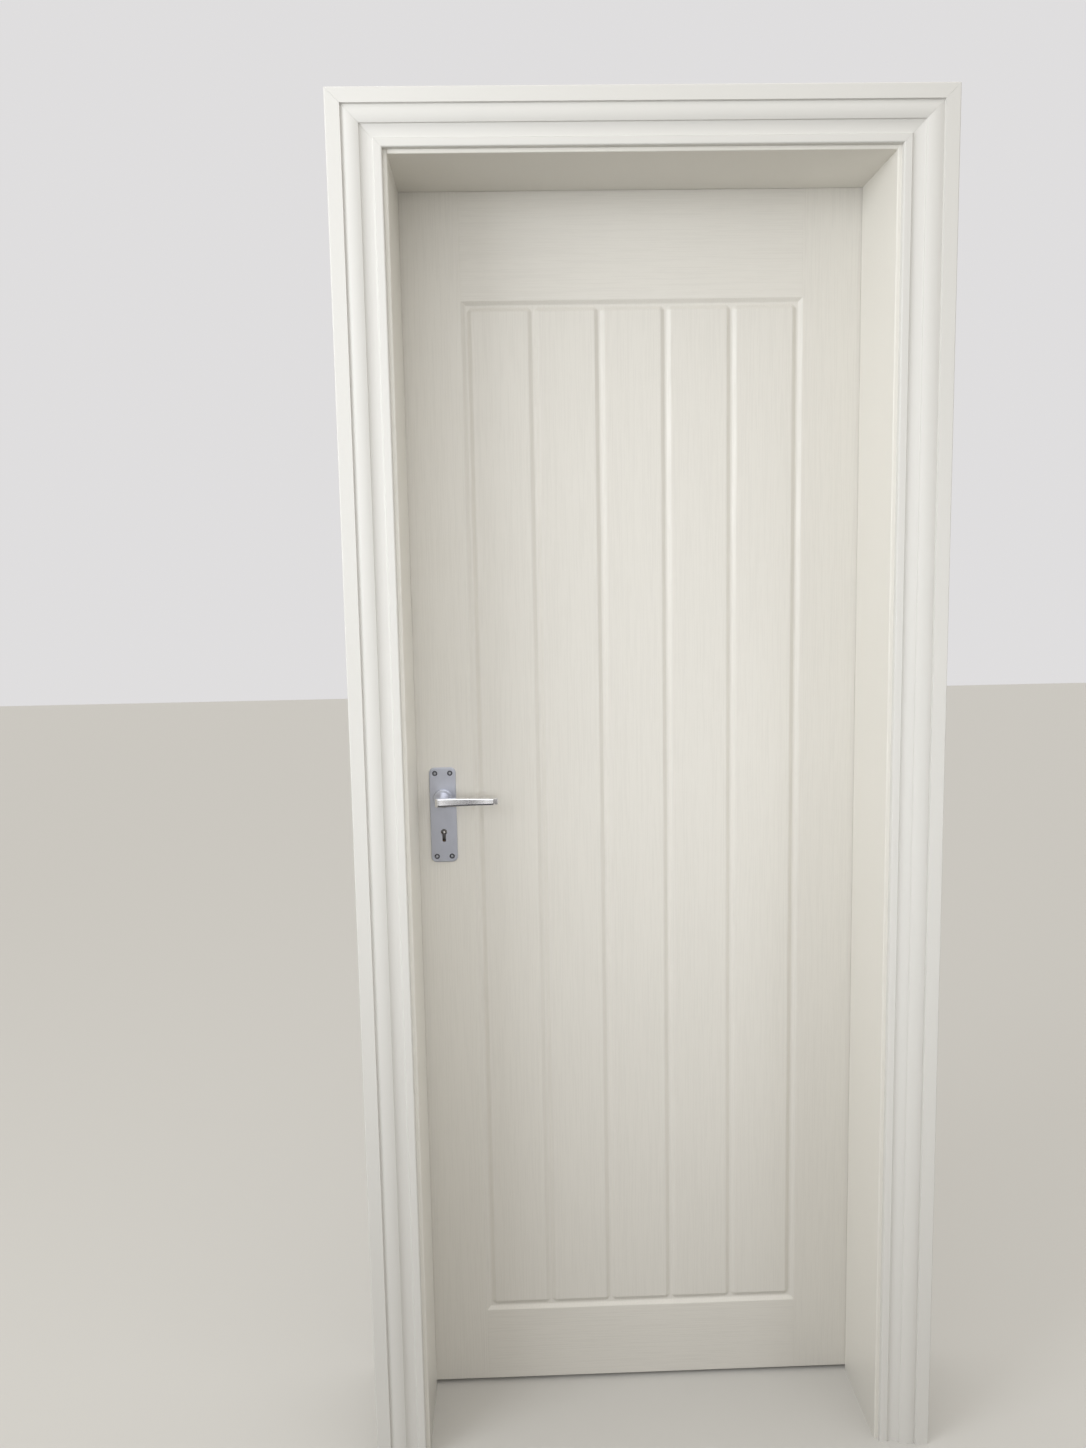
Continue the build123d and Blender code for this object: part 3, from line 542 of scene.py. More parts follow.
@dataclass(frozen=True)
class KraftPaper:
    """Brown paper of the honeycomb core."""

    colour: Colour = (0.42, 0.29, 0.17)
    fibres: Grain = Grain(900.0, 300.0, 4.0, 0.7)
    shades: Pair = (0.78, 1.15)
    relief: float = 0.00005
    roughness: float = 0.85
    gloss: float = 0.2

    def material(self) -> bpy.types.Material:
        """Builds the paper.

        Returns:
            The paper.
        """
        coat = Coat("kraft_paper")
        fibres = coat.graph.noise(self.fibres)
        dark, light = self.shades
        tint = coat.graph.blend(fibres, scaled(self.colour, dark), scaled(self.colour, light))
        return coat.surface(tint, self.roughness, fibres, self.relief, gloss=self.gloss)


# Outlines and meshes


def arc(start: Point, middle: Point, end: Point, steps: int) -> list[Point]:
    """Works out points on the arc through three points.

    Args:
        start: The first point.
        middle: A point between the ends.
        end: The last point.
        steps: The number of runs between the ends.

    Returns:
        The points, both ends among them.
    """
    (ax, ay), (bx, by), (cx, cy) = start, middle, end
    turn_way = (bx - ax) * (cy - ay) - (by - ay) * (cx - ax)
    twice = 2 * (ax * (by - cy) + bx * (cy - ay) + cx * (ay - by))
    a2, b2, c2 = ax * ax + ay * ay, bx * bx + by * by, cx * cx + cy * cy
    ox = (a2 * (by - cy) + b2 * (cy - ay) + c2 * (ay - by)) / twice
    oy = (a2 * (cx - bx) + b2 * (ax - cx) + c2 * (bx - ax)) / twice
    radius = math.hypot(ax - ox, ay - oy)
    first = math.atan2(ay - oy, ax - ox)
    sweep = (math.atan2(cy - oy, cx - ox) - first) % math.tau
    if turn_way < 0:
        sweep -= math.tau
    return shifted(turned(radius, (first + sweep * step / steps for step in range(steps + 1))), ox, oy)


def turned(radius: float, angles: Iterable[float]) -> list[Point]:
    """Returns the points of a circle at some angles from +X."""
    return [(radius * math.cos(angle), radius * math.sin(angle)) for angle in angles]


def circle(radius: float, steps: int) -> list[Point]:
    """Returns points all round a circle, anticlockwise from +X."""
    return turned(radius, (math.tau * step / steps for step in range(steps)))


def quarter(steps: int) -> list[float]:
    """Returns the angles of a quarter round, both ends among them."""
    return [math.pi / 2 * step / steps for step in range(steps + 1)]


def fall(radius: float, inward: float) -> float:
    """Works out how far a rounded edge falls away.

    Args:
        radius: The edge's radius.
        inward: The distance past the line where the rounding starts.

    Returns:
        The fall, which is 0 before that line.
    """
    return radius - math.sqrt(max(radius**2 - max(inward, 0.0) ** 2, 0.0))


def rounded_rectangle(
    half_width: float, half_height: float, radius: float, steps: int, last: float = 0.0
) -> list[Point]:
    """Works out a rectangle with round corners, anticlockwise from its right side.

    Args:
        half_width: Half its width.
        half_height: Half its height.
        radius: The corners' radius, which is cut back where it doesn't fit.
        steps: The number of runs in each corner.
        last: The radius of the lower right corner, where it has its own.

    Returns:
        The points.
    """
    fitting = min(half_width, half_height) * LARGEST_ROUND
    points = []
    for corner, (side, rise) in enumerate(((1, 1), (-1, 1), (-1, -1), (1, -1))):
        radius = min((corner == 3 and last) or radius, fitting)
        rounding = turned(radius, (corner * math.pi / 2 + angle for angle in quarter(steps)))
        points += shifted(rounding, side * (half_width - radius), rise * (half_height - radius))
    return points


def shifted(outline: Iterable[Point], across: float, up: float) -> list[Point]:
    """Returns an outline moved across and up."""
    return [(x + across, y + up) for x, y in outline]


class MeshDraft:
    """Vertices and faces that are gathered for one mesh."""

    def __init__(self) -> None:
        """Starts with nothing in it."""
        self.mesh = bmesh.new()

    def loop(self, points: Iterable[Sequence[float]]) -> list[bmesh.types.BMVert]:
        """Adds a row of vertices and returns it."""
        return [self.mesh.verts.new(point) for point in points]

    def bridge(self, rings: Sequence[Sequence[bmesh.types.BMVert]], finish: int = 0) -> None:
        """Joins rings of equal length in turn.

        Args:
            rings: The rings.
            finish: Which of the piece's materials the faces take.
        """
        for first, second in zip(rings, rings[1:]):
            for index in range(len(first)):
                after = (index + 1) % len(first)
                side = self.mesh.faces.new((first[index], first[after], second[after], second[index]))
                side.material_index = finish

    def fill(self, *rings: Sequence[bmesh.types.BMVert]) -> None:
        """Fills the flat area between an outer ring and the rings inside it.

        Args:
            rings: The rings, which have their edges already.
        """
        edges = []
        for ring in rings:
            for index, vertex in enumerate(ring):
                edges.append(self.mesh.edges.get((vertex, ring[(index + 1) % len(ring)])))
        bmesh.ops.triangle_fill(self.mesh, use_beauty=True, edges=edges)

    def build(self, name: str, material: bpy.types.Material, sharp: float = 30.0) -> bpy.types.Object:
        """Turns the draft into an object.

        Args:
            name: The piece's name.
            material: Its material.
            sharp: Edges that turn by more degrees than this are drawn sharp.

        Returns:
            The object, at the origin.
        """
        loose = [vertex for vertex in self.mesh.verts if not vertex.link_faces]
        bmesh.ops.delete(self.mesh, geom=loose, context="VERTS")
        bmesh.ops.recalc_face_normals(self.mesh, faces=self.mesh.faces)
        data = bpy.data.meshes.new(name)
        self.mesh.to_mesh(data)
        self.mesh.free()
        data.materials.append(material)
        data.polygons.foreach_set("use_smooth", [True] * len(data.polygons))
        data.set_sharp_from_angle(angle=math.radians(sharp))
        made = placed(name, data)
        made.modifiers.new("even_shading", "WEIGHTED_NORMAL").keep_sharp = True
        return made


def placed(name: str, data: bpy.types.ID) -> bpy.types.Object:
    """Puts a mesh, a lamp or a camera in the scene.

    Args:
        name: The new object's name.
        data: The mesh, the lamp or the camera.

    Returns:
        The new object.
    """
    made = bpy.data.objects.new(name, data)
    bpy.context.scene.collection.objects.link(made)
    return made


def settle(piece: bpy.types.Object, body: Body, slot: str, *nodes: str) -> None:
    """Puts a finished piece on its body in place of its CAD nodes.

    Args:
        piece: The piece, already in place.
        body: The body that it rides on.
        slot: A material slot's name, which is not used.
        nodes: The CAD nodes that it stands for, if any.
    """
    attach(piece, body.value)
    if nodes:
        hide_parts(*nodes)
    log.info("made %s in place of %s", piece.name, ", ".join(nodes) or "nothing")


def dress(
    material: bpy.types.Material, *nodes: str, softened: float = 0.0, rounded: bool = False
) -> None:
    """Gives CAD nodes their finish.

    Args:
        material: The finish.
        nodes: The names of the nodes.
        softened: How wide their sharp edges are rounded, or 0 to leave them.
        rounded: Whether their round sides are shaded smoothly.
    """
    for node in nodes:
        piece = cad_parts[node]
        piece.data.materials.clear()
        piece.data.materials.append(material)
        if softened or rounded:
            piece.modifiers.new("joined_corners", "WELD").merge_threshold = SAME_PLACE
        if rounded:
            corners = piece.modifiers.new("kept_corners", "EDGE_SPLIT")
            corners.split_angle = math.radians(CORNER_TURN)
            corners.use_edge_sharp = False
            piece.modifiers.new("even_shading", "WEIGHTED_NORMAL")
        if softened:
            bevel = piece.modifiers.new("soft_edges", "BEVEL")
            bevel.width = softened
            bevel.segments = 2
            bevel.limit_method = "ANGLE"
            bevel.angle_limit = math.radians(BEVEL_TURN)
            bevel.harden_normals = True
        log.info("dressed %s", node)


def node_centre(node: str) -> Vector:
    """Returns the middle of a CAD node's box."""
    low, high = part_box(node)
    return (low + high) / 2


# The lining and its architraves


@dataclass
class Lining:
    """The rebated lining around the leaf."""

    colour: Colour = (0.82, 0.80, 0.75)

    def dress(self) -> None:
        """Finishes the lining's three pieces."""
        upright, level = brushed_pair("lining_paint", self.colour)
        dress(upright, "lining_latch_jamb", "lining_hinge_jamb")
        dress(level, "lining_head")


@dataclass
class Architraves:
    """The mitred ogee mouldings around both faces of the lining.

    The places in the section are distances out from its thin edge and heights from the wall.
    """

    colour: Colour = (0.735, 0.725, 0.70)
    thin_edge: float = 0.010
    thin_round: float = 0.0025
    thin_band: float = 0.0135
    fillet: Pair = (0.0020, 0.0034)
    hollow: Point = (0.0225, 0.0072)
    turn: Point = (0.0312, 0.0100)
    nose: Point = (0.0317, 0.0126)
    crown: Point = (0.044, 0.0156)
    quirk: Point = (0.056, 0.0134)
    quirk_lean: float = 0.0006
    back_round: float = 0.002
    mitre_gap: float = 0.0001
    steps: int = 14
    round_steps: int = 5
    sharp: float = 20.0

    def profile(self, wide: float, full: float) -> list[Point]:
        """Works out the section, from the thin edge outwards and from the wall forwards.

        Args:
            wide: The moulding's width.
            full: Its thickness.

        Returns:
            The section's points, ending at the wall.
        """
        thin, edge, band = self.thin_edge, self.thin_round, self.back_round
        bow, turn = edge * (1 - math.sqrt(0.5)), band * (1 - math.sqrt(0.5))
        points = [(0.0, 0.0)]
        points += arc((0.0, thin - edge), (bow, thin - bow), (edge, thin), self.round_steps)
        points += [(self.thin_band - self.fillet[0], thin)]
        points += arc((self.thin_band, thin - self.fillet[1]), self.hollow, self.turn, self.steps)
        points += arc(self.nose, self.crown, self.quirk, self.steps)
        points += [(self.quirk[0] + self.quirk_lean, full)]
        shoulder = ((wide - band, full), (wide - turn, full - turn), (wide, full - band))
        return [*points, *arc(*shoulder, self.round_steps), (wide, 0.0)]

    def piece(self, node: str, face: Face, material: bpy.types.Material) -> None:
        """Builds one moulding from its CAD node's box.

        Args:
            node: The node that it stands for.
            face: The side of the doorway that it is on.
            material: Its paint.
        """
        low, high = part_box(node)
        wall, _ = face.sides(node)
        if node.endswith("head"):
            wide = high.z - low.z
            inner = high.x - wide - self.mitre_gap
            ends = [(-1, low.z, 1), (1, low.z, 1)]
        else:
            wide = high.x - low.x
            side = 1 if low.x > 0 else -1
            inner = min(abs(low.x), abs(high.x))
            ends = [(side, low.z, 0), (side, high.z - wide - self.mitre_gap, 1)]
        draft = MeshDraft()
        section = self.profile(wide, high.y - low.y)
        rings = []
        for side, rise, slope in ends:
            points = ((side * (inner + u), wall + face.value * h, rise + slope * u) for u, h in section)
            rings.append(draft.loop(points))
        draft.bridge(rings)
        for ring in rings:
            draft.mesh.faces.new(ring)
        made = draft.build(f"{node}_moulding", material, self.sharp)
        settle(made, Body.FRAME, "architrave_paint", node)

    def build(self) -> None:
        """Builds the six mouldings."""
        upright, level = brushed_pair("architrave_paint", self.colour)
        for face in Face:
            for place, paint in (("head", level), ("latch_leg", upright), ("hinge_leg", upright)):
                self.piece(f"architrave_{face.node(place)}", face, paint)


# The leaf


@dataclass(frozen=True)
class Window:
    """An opening in a skin."""

    left: float
    right: float
    low: float
    high: float

    def holds(self, x: float, z: float) -> bool:
        """Tells whether a point is in the opening."""
        return self.left < x < self.right and self.low < z < self.high


@dataclass
class Leaf:
    """The moulded leaf: pressed skins over timber and a paper core."""

    colour: Colour = (0.745, 0.722, 0.675)
    stile: float = 0.108
    top_rail: float = 0.180
    bottom_rail: float = 0.130
    boards: int = 5
    groove: float = 0.016
    groove_floor: float = 0.003
    groove_depth: float = 0.004
    groove_round: float = 0.0009
    board_corner: float = 0.0035
    arris: float = 0.0009
    arris_steps: int = 4
    spacing: float = 0.0006
    finest: float = 0.00003
    sharp: float = 50.0
    thickness: float = 0.0032
    spindle_reach: float = 0.0068
    key_reach: float = 0.0056
    key_foot: float = 0.0176
    hinge_fit: float = 0.0001
    low: Vector = field(default_factory=lambda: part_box("front_skin")[0])
    high: Vector = field(default_factory=lambda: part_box("front_skin")[1])

    @property
    def edge(self) -> float:
        """The distance from the leaf's middle to its edge."""
        return self.high.x

    @property
    def pitch(self) -> float:
        """The distance between the middles of two boards."""
        return (2 * (self.edge - self.stile) - self.groove) / self.boards

    @property
    def panel(self) -> Pair:
        """The lower and upper edge of the sunk panel."""
        return self.low.z + self.bottom_rail, self.high.z - self.top_rail

    def slope(self, inward: float) -> float:
        """Works out how deep a groove is at a distance in from its edge.

        Args:
            inward: The distance from the groove's edge, below 0 outside it.

        Returns:
            The depth, rounded where the slope starts and ends.
        """
        run = (self.groove - self.groove_floor) / 2
        lean = self.groove_depth / run
        soft = self.groove_round
        if inward <= -soft:
            return 0.0
        if inward < soft:
            return lean * (inward + soft) ** 2 / (4 * soft)
        if inward <= run - soft:
            return lean * inward
        if inward < run + soft:
            return self.groove_depth - lean * (run + soft - inward) ** 2 / (4 * soft)
        return self.groove_depth

    def sunk(self, x: float, z: float) -> float:
        """Works out how deep the grooves are at a point.

        Args:
            x: The distance from the leaf's middle.
            z: The height above the floor.

        Returns:
            The depth below the flat of the skin.
        """
        low, high = self.panel
        depth = self.slope(min(self.edge - self.stile - abs(x), z - low, high - z))
        if depth == 0.0:
            return 0.0
        outer = self.boards // 2
        board = min(max(round(x / self.pitch), -outer), outer) * self.pitch
        half_wide = (self.pitch - self.groove) / 2 - self.board_corner
        half_tall = (high - low) / 2 - self.groove - self.board_corner
        aside = max(abs(x - board) - half_wide, 0.0)
        above = max(abs(z - (low + high) / 2) - half_tall, 0.0)
        return min(depth, self.slope(math.hypot(aside, above) - self.board_corner))

    def rounding(self, x: float, z: float) -> float:
        """Works out how far the skin's outer edge falls away at a point.

        Args:
            x: The distance from the leaf's middle.
            z: The height above the floor.

        Returns:
            The depth below the flat of the skin.
        """
        border = min(self.edge - abs(x), z - self.low.z, self.high.z - z)
        return fall(self.arris, self.arris - border)

    def stations(
        self, low: float, high: float, grooves: Sequence[float], cuts: Sequence[float]
    ) -> list[float]:
        """Works out where the skin's mesh has its lines on one axis.

        Args:
            low: The lower end of the leaf.
            high: Its upper end.
            grooves: The middles of the grooves that cross this axis.
            cuts: The sides of the openings.

        Returns:
            The places in order.
        """
        reach = self.groove / 2 + self.groove_round + self.spacing
        count = round(2 * reach / self.spacing)
        places = {low, high, *cuts}
        for middle in grooves:
            places.update(middle - reach + 2 * reach * step / count for step in range(count + 1))
        for angle in quarter(self.arris_steps)[1:]:
            inset = self.arris * (1 - math.cos(angle))
            places.update((low + inset, high - inset))
        ordered = sorted(places)
        pairs = zip(ordered, [*ordered[1:], math.inf])
        return [place for place, after in pairs if after - place > self.finest]

    def windows(self, face: Face) -> list[Window]:
        """Works out the openings of one skin: spindle, key and, on the rear skin, the hinge leaves.

        Args:
            face: The side of the leaf that it is on.

        Returns:
            The openings.
        """
        spindle = node_centre("spindle")
        reach, side, key = self.spindle_reach, self.key_reach, spindle.z - KEY_DROP
        found = [
            Window(spindle.x - reach, spindle.x + reach, spindle.z - reach, spindle.z + reach),
            Window(spindle.x - side, spindle.x + side, key - self.key_foot, key + side),
        ]
        if face is Face.REAR:
            for place in HINGES:
                low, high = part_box(f"hinge_{place}_door_leaf")
                found.append(Window(low.x, self.edge, low.z - self.hinge_fit, high.z + self.hinge_fit))
        return found

    def lines(self, windows: Sequence[Window]) -> tuple[list[float], list[float]]:
        """Works out where the skin's mesh has its upright and its level lines.

        Args:
            windows: The openings of the skin.

        Returns:
            The places across the leaf and the heights.
        """
        low, high = self.panel
        half = self.groove / 2
        uprights = [(index - self.boards / 2) * self.pitch for index in range(self.boards + 1)]
        sides = [side for window in windows for side in (window.left, window.right)]
        ends = [end for window in windows for end in (window.low, window.high)]
        across = self.stations(-self.edge, self.edge, uprights, sides)
        return across, self.stations(self.low.z, self.high.z, (low + half, high - half), ends)

    def skin(self, face: Face, material: bpy.types.Material) -> None:
        """Builds one pressed skin as a fine grid over its grooves.

        Args:
            face: The side of the leaf that it is on.
            material: Its paint.
        """
        node = face.node("skin")
        _, show = face.sides(node)
        windows = self.windows(face)
        across, up = self.lines(windows)
        draft = MeshDraft()
        outer, inner, cells = {}, {}, set()
        for row, z in enumerate(up):
            for column, x in enumerate(across):
                sunk = self.sunk(x, z)
                for side, deep in ((outer, self.rounding(x, z)), (inner, self.thickness)):
                    side[column, row] = draft.mesh.verts.new((x, show - face.value * (sunk + deep), z))
        for row, z in enumerate(zip(up, up[1:])):
            for column, x in enumerate(zip(across, across[1:])):
                if not any(window.holds(sum(x) / 2, sum(z) / 2) for window in windows):
                    cells.add((column, row))
        for column, row in cells:
            ring = ((column, row), (column + 1, row), (column + 1, row + 1), (column, row + 1))
            beside = ((column, row - 1), (column + 1, row), (column, row + 1), (column - 1, row))
            draft.mesh.faces.new([outer[corner] for corner in ring])
            draft.mesh.faces.new([inner[corner] for corner in reversed(ring)])
            for index, neighbour in enumerate(beside):
                if neighbour not in cells:
                    first, second = ring[index], ring[(index + 1) % 4]
                    draft.mesh.faces.new((outer[second], outer[first], inner[first], inner[second]))
        made = draft.build(f"{node}_pressed", material, self.sharp)
        settle(made, Body.LEAF, "skin_paint", node)

    def build(self) -> None:
        """Builds the skins and finishes the timber and the core."""
        panel_low, panel_high = self.panel
        paint = MouldedPaint(self.colour, self.edge - self.stile, panel_low, panel_high).material()
        for face in Face:
            self.skin(face, paint)
        upright, level = brushed_pair("leaf_edge_paint", self.colour)
        dress(upright, "lock_stile", "hinge_stile")
        dress(level, "top_rail", "bottom_rail")
        dress(BareSoftwood(Axis.UP).material(), "lock_block")
        dress(KraftPaper().material(), "honeycomb_core")


# Screws


@dataclass(frozen=True)
class ScrewLie:
    """Where a screw is, with its head up, and how large it is."""

    place: Matrix
    head: float
    shank: float
    length: float


@dataclass
class Screws:
    """The countersunk, cross-recessed screws that hold the metalwork and the lining."""

    material: bpy.types.Material
    sides: int = 32
    cad_sides: int = 8
    recess_reach: float = 0.74
    recess_arm: float = 0.15
    recess_depth: float = 0.60
    recess_taper: float = 0.62
    sunk: float = 0.0015
    dome: float = 0.66
    shoulder: float = 0.3
    root: float = 0.72
    pitch: float = 0.0014
    flank: float = 1 / 3
    tip: float = 1.8
    point: float = 0.1
    end_fit: float = 0.0001
    sharp: float = 25.0

    def solids(self, node: str) -> list[list[Vector]]:
        """Splits a CAD node into its separate screws.

        Args:
            node: The node's name.

        Returns:
            The corners of each screw.
        """
        mesh = bmesh.new()
        mesh.from_mesh(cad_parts[node].data)
        bmesh.ops.remove_doubles(mesh, verts=mesh.verts, dist=SAME_PLACE)
        found, seen = [], set()
        for first in mesh.verts:
            group = [] if first in seen else [first]
            seen.add(first)
            for vertex in group:
                for edge in vertex.link_edges:
                    other = edge.other_vert(vertex)
                    if other not in seen:
                        seen.add(other)
                        group.append(other)
            if group:
                found.append([vertex.co.copy() for vertex in group])
        mesh.free()
        return found

    def lie(self, corners: Sequence[Vector]) -> ScrewLie:
        """Works out where a CAD screw is and how large it is.

        Args:
            corners: The screw's corners.

        Returns:
            Its place and size.
        """
        low = Vector([min(corner[axis] for corner in corners) for axis in range(3)])
        high = Vector([max(corner[axis] for corner in corners) for axis in range(3)])
        size = high - low
        along = max(range(3), key=lambda axis: size[axis])
        middle = (low + high) / 2
        spokes = []
        for end in (low[along], high[along]):
            flat = [corner - middle for corner in corners if abs(corner[along] - end) < self.end_fit]
            longest = max(spoke.length_squared - spoke[along] ** 2 for spoke in flat)
            spokes.append(math.sqrt(longest))
        out = Vector((0.0, 0.0, 0.0))
        out[along] = 1.0 if spokes[1] > spokes[0] else -1.0
        head = middle + out * (size[along] / 2)
        inscribed = math.cos(math.pi / self.cad_sides)
        place = Matrix.Translation(head) @ out.to_track_quat("Z", "Y").to_matrix().to_4x4()
        return ScrewLie(place, max(spokes) * inscribed, min(spokes) * inscribed, size[along])

    def cross(self, radius: float) -> list[Point]:
        """Works out the outline of a cross recess, anticlockwise.

        Args:
            radius: The radius of the head's flat.

        Returns:
            The outline.
        """
        reach, arm = radius * self.recess_reach, radius * self.recess_arm
        points = []
        for cosine, sine in ((1, 0), (0, 1), (-1, 0), (0, -1)):
            for across, along in ((reach, -arm), (reach, arm), (arm, arm)):
                points.append((across * cosine - along * sine, across * sine + along * cosine))
        return points

    def add(self, draft: MeshDraft, lie: ScrewLie) -> None:
        """Adds one screw to a draft.

        Args:
            draft: The draft.
            lie: The screw's place and size.
        """

        def ring(outline: Sequence[Point], height: float) -> list[bmesh.types.BMVert]:
            """Adds an outline at a height along the screw."""
            return draft.loop(lie.place @ Vector((x, y, height)) for x, y in outline)

        shank = lie.shank
        cone = lie.head - shank
        brim, sunk = lie.head - self.sunk, self.sunk
        crown = brim * self.dome
        root, end = shank * self.root, self.tip * shank - lie.length
        sizes = [(crown, 0.0), ((crown + brim) / 2, -self.shoulder * sunk), (brim, -sunk), (shank, -cone)]
        height = -cone - self.pitch
        while height > end:
            sizes += [(shank, height + self.pitch * self.flank), (root, height)]
            height -= self.pitch
        sizes += [(root, end), (shank * self.point, -lie.length)]
        rings = [ring(circle(radius, self.sides), level) for radius, level in sizes]
        draft.bridge(rings)
        draft.mesh.faces.new(rings[-1])
        mouth = ring(self.cross(crown), 0.0)
        floor = ring(self.cross(crown * self.recess_taper), -crown * self.recess_depth)
        draft.bridge([mouth, floor])
        draft.mesh.faces.new(floor)
        draft.fill(rings[0], mouth)

    def build(self, node: str, body: Body) -> None:
        """Builds the screws of one CAD node.

        Args:
            node: The node.
            body: The body that it rides on.
        """
        draft = MeshDraft()
        for corners in self.solids(node):
            self.add(draft, self.lie(corners))
        made = draft.build(f"{node}_threaded", self.material, self.sharp)
        settle(made, body, "screw_steel", node)


# Lever furniture


@dataclass
class Backplates:
    """The rounded plates of the lever furniture, each with its boss, keyhole and countersinks.

    The plate's depth and the recess behind the boss are counted from the leaf's skin, and the boss's
    rise from the plate's face. Each pair of the keyhole's rim is how much larger than the hole it is
    and how far it is under that face.
    """

    metal: bpy.types.Material
    # The dark metal on the countersinks' walls is painted shade: it darkens a ring round each screw head.
    tarnish_and_painted_shade: bpy.types.Material
    screws: Screws
    corner: float = 0.009
    edge: float = 0.0012
    deep: float = 0.004
    sink_lip: float = 0.0003
    screw_fit: float = 0.00005
    key_circle: float = 0.005
    key_slot: float = 0.0029
    key_height: float = 0.022
    key_rim: tuple[Pair, ...] = ((0.0, 0.0006), (0.00015, 0.0001), (0.0005, 0.0))
    boss_radius: float = 0.016
    boss_edge: float = 0.0020
    boss_rise: float = 0.004
    bore: float = 0.00808
    recess_radius: float = 0.012
    recess_depth: float = 0.005
    steps: int = 6
    corner_steps: int = 10
    slot_steps: int = 12
    key_steps: int = 28
    seat_steps: int = 32
    boss_steps: int = 64

    def keyhole(self, grow: float) -> list[Point]:
        """Works out the keyhole's outline about the spindle, anticlockwise.

        Args:
            grow: How much larger than the hole it is.

        Returns:
            The points.
        """
        radius, half = self.key_circle + grow, self.key_slot + grow
        foot = self.key_height - self.key_circle - self.key_slot
        meet = math.asin(half / radius)
        sweep = (math.tau - 2 * meet) / self.key_steps
        round_end = (meet - math.pi / 2 + sweep * step for step in range(self.key_steps + 1))
        slot_end = (math.pi + math.pi * step / self.slot_steps for step in range(self.slot_steps + 1))
        points = [*turned(radius, round_end), *shifted(turned(half, slot_end), 0.0, -foot)]
        return shifted(points, 0.0, -KEY_DROP)

    def rounded(self, size: float, top: float) -> list[Pair]:
        """Works out a quarter round at the top of a raised piece.

        Args:
            size: Its radius.
            top: The height of the piece.

        Returns:
            How far the edge draws in and its height, from the side to the top.
        """
        angles = quarter(self.steps)
        return [(size * (1 - math.cos(angle)), top - size * (1 - math.sin(angle))) for angle in angles]

    def seat(self, lie: ScrewLie) -> list[Pair]:
        """Works out the countersink of a screw.

        Args:
            lie: The screw's place and size.

        Returns:
            The radius and the height of its rings, from the skin outwards.
        """
        head, shank = lie.head + self.screw_fit, lie.shank + self.screw_fit
        hole = [(shank, 0.0), (shank, self.deep - head + shank)]
        return [*hole, (head, self.deep - self.sink_lip / 2), (head + self.sink_lip, self.deep)]

    def boss(self) -> list[Pair]:
        """Works out the boss, from its foot over its top and down its bore.

        Returns:
            The radius and the height of its rings.
        """
        top = self.deep + self.boss_rise
        outside = [(self.boss_radius - drawn, out) for drawn, out in self.rounded(self.boss_edge, top)]
        bore = [(self.bore, top), (self.bore, self.recess_depth)]
        recess = [(self.recess_radius, self.recess_depth), (self.recess_radius, 0.0)]
        return [(self.boss_radius, self.deep), *outside, *bore, *recess]

    def build(self, face: Face) -> None:
        """Builds one backplate.

        Args:
            face: The side of the leaf that it is on.
        """
        node = face.node("backplate")
        low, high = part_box(node)
        skin, _ = face.sides(node)
        half_wide, half_tall = (high.x - low.x) / 2, (high.z - low.z) / 2
        spindle = node_centre("spindle")
        rise = (low.z + high.z) / 2 - spindle.z
        draft = MeshDraft()

        def ring(outline: Iterable[Point], out: float) -> list[bmesh.types.BMVert]:
            """Adds an outline about the spindle, out from the skin."""
            return draft.loop((spindle.x + x, skin + face.value * out, spindle.z + z) for x, z in outline)

        plate = []
        for drawn, out in [(0.0, 0.0), *self.rounded(self.edge, self.deep)]:
            size = (half_wide - drawn, half_tall - drawn, self.corner - drawn)
            plate.append(ring(shifted(rounded_rectangle(*size, self.corner_steps), 0.0, rise), out))
        seats = []
        for corners in self.screws.solids(face.node("plate_screws")):
            lie = self.screws.lie(corners)
            aside = lie.place.translation - spindle
            seat = []
            for radius, out in self.seat(lie):
                seat.append(ring(shifted(circle(radius, self.seat_steps), aside.x, aside.z), out))
            seats.append(seat)
        rims = ((0.0, self.deep), *self.key_rim)
        keyhole = [ring(self.keyhole(grow), self.deep - down) for grow, down in rims]
        boss = [ring(circle(radius, self.boss_steps), out) for radius, out in self.boss()]
        for rings in (plate, boss, keyhole):
            draft.bridge(rings)
        # The countersinks' walls take the second material, which is painted shade.
        for rings in seats:
            draft.bridge(rings, 1)
        draft.fill(plate[0], boss[-1], keyhole[0], *(rings[0] for rings in seats))
        draft.fill(plate[-1], boss[0], keyhole[-1], *(rings[-1] for rings in seats))
        made = draft.build(f"{node}_pressed", self.metal)
        made.data.materials.append(self.tarnish_and_painted_shade)
        settle(made, Body.LEAF, "furniture_aluminium", node)


@dataclass
class KeyWard:
    """The warded plate in the lock, which leaves only a pin hole open behind the keyholes."""

    metal: bpy.types.Material
    outline: Sequence[Point]
    hole: Point = (-0.0009, -0.0617)
    hole_radius: float = 0.0017
    hole_steps: int = 24
    half_thick: float = 0.001

    def build(self) -> None:
        """Builds the plate in the middle of the lock."""
        spindle = node_centre("spindle")
        draft = MeshDraft()
        pin_hole = shifted(circle(self.hole_radius, self.hole_steps), *self.hole)
        sides = []
        for outline in (self.outline, pin_hole):
            rings = []
            for out in (-self.half_thick, self.half_thick):
                points = ((spindle.x + x, spindle.y + out, spindle.z + z) for x, z in outline)
                rings.append(draft.loop(points))
            draft.bridge(rings)
            sides.append(rings)
        for front, rear in zip(*sides):
            draft.fill(front, rear)
        settle(draft.build("key_ward", self.metal), Body.LEAF, "lock_steel")


@dataclass(frozen=True)
class BarSection:
    """A section of the hand bar."""

    along: float
    out: float
    half_depth: float
    half_height: float


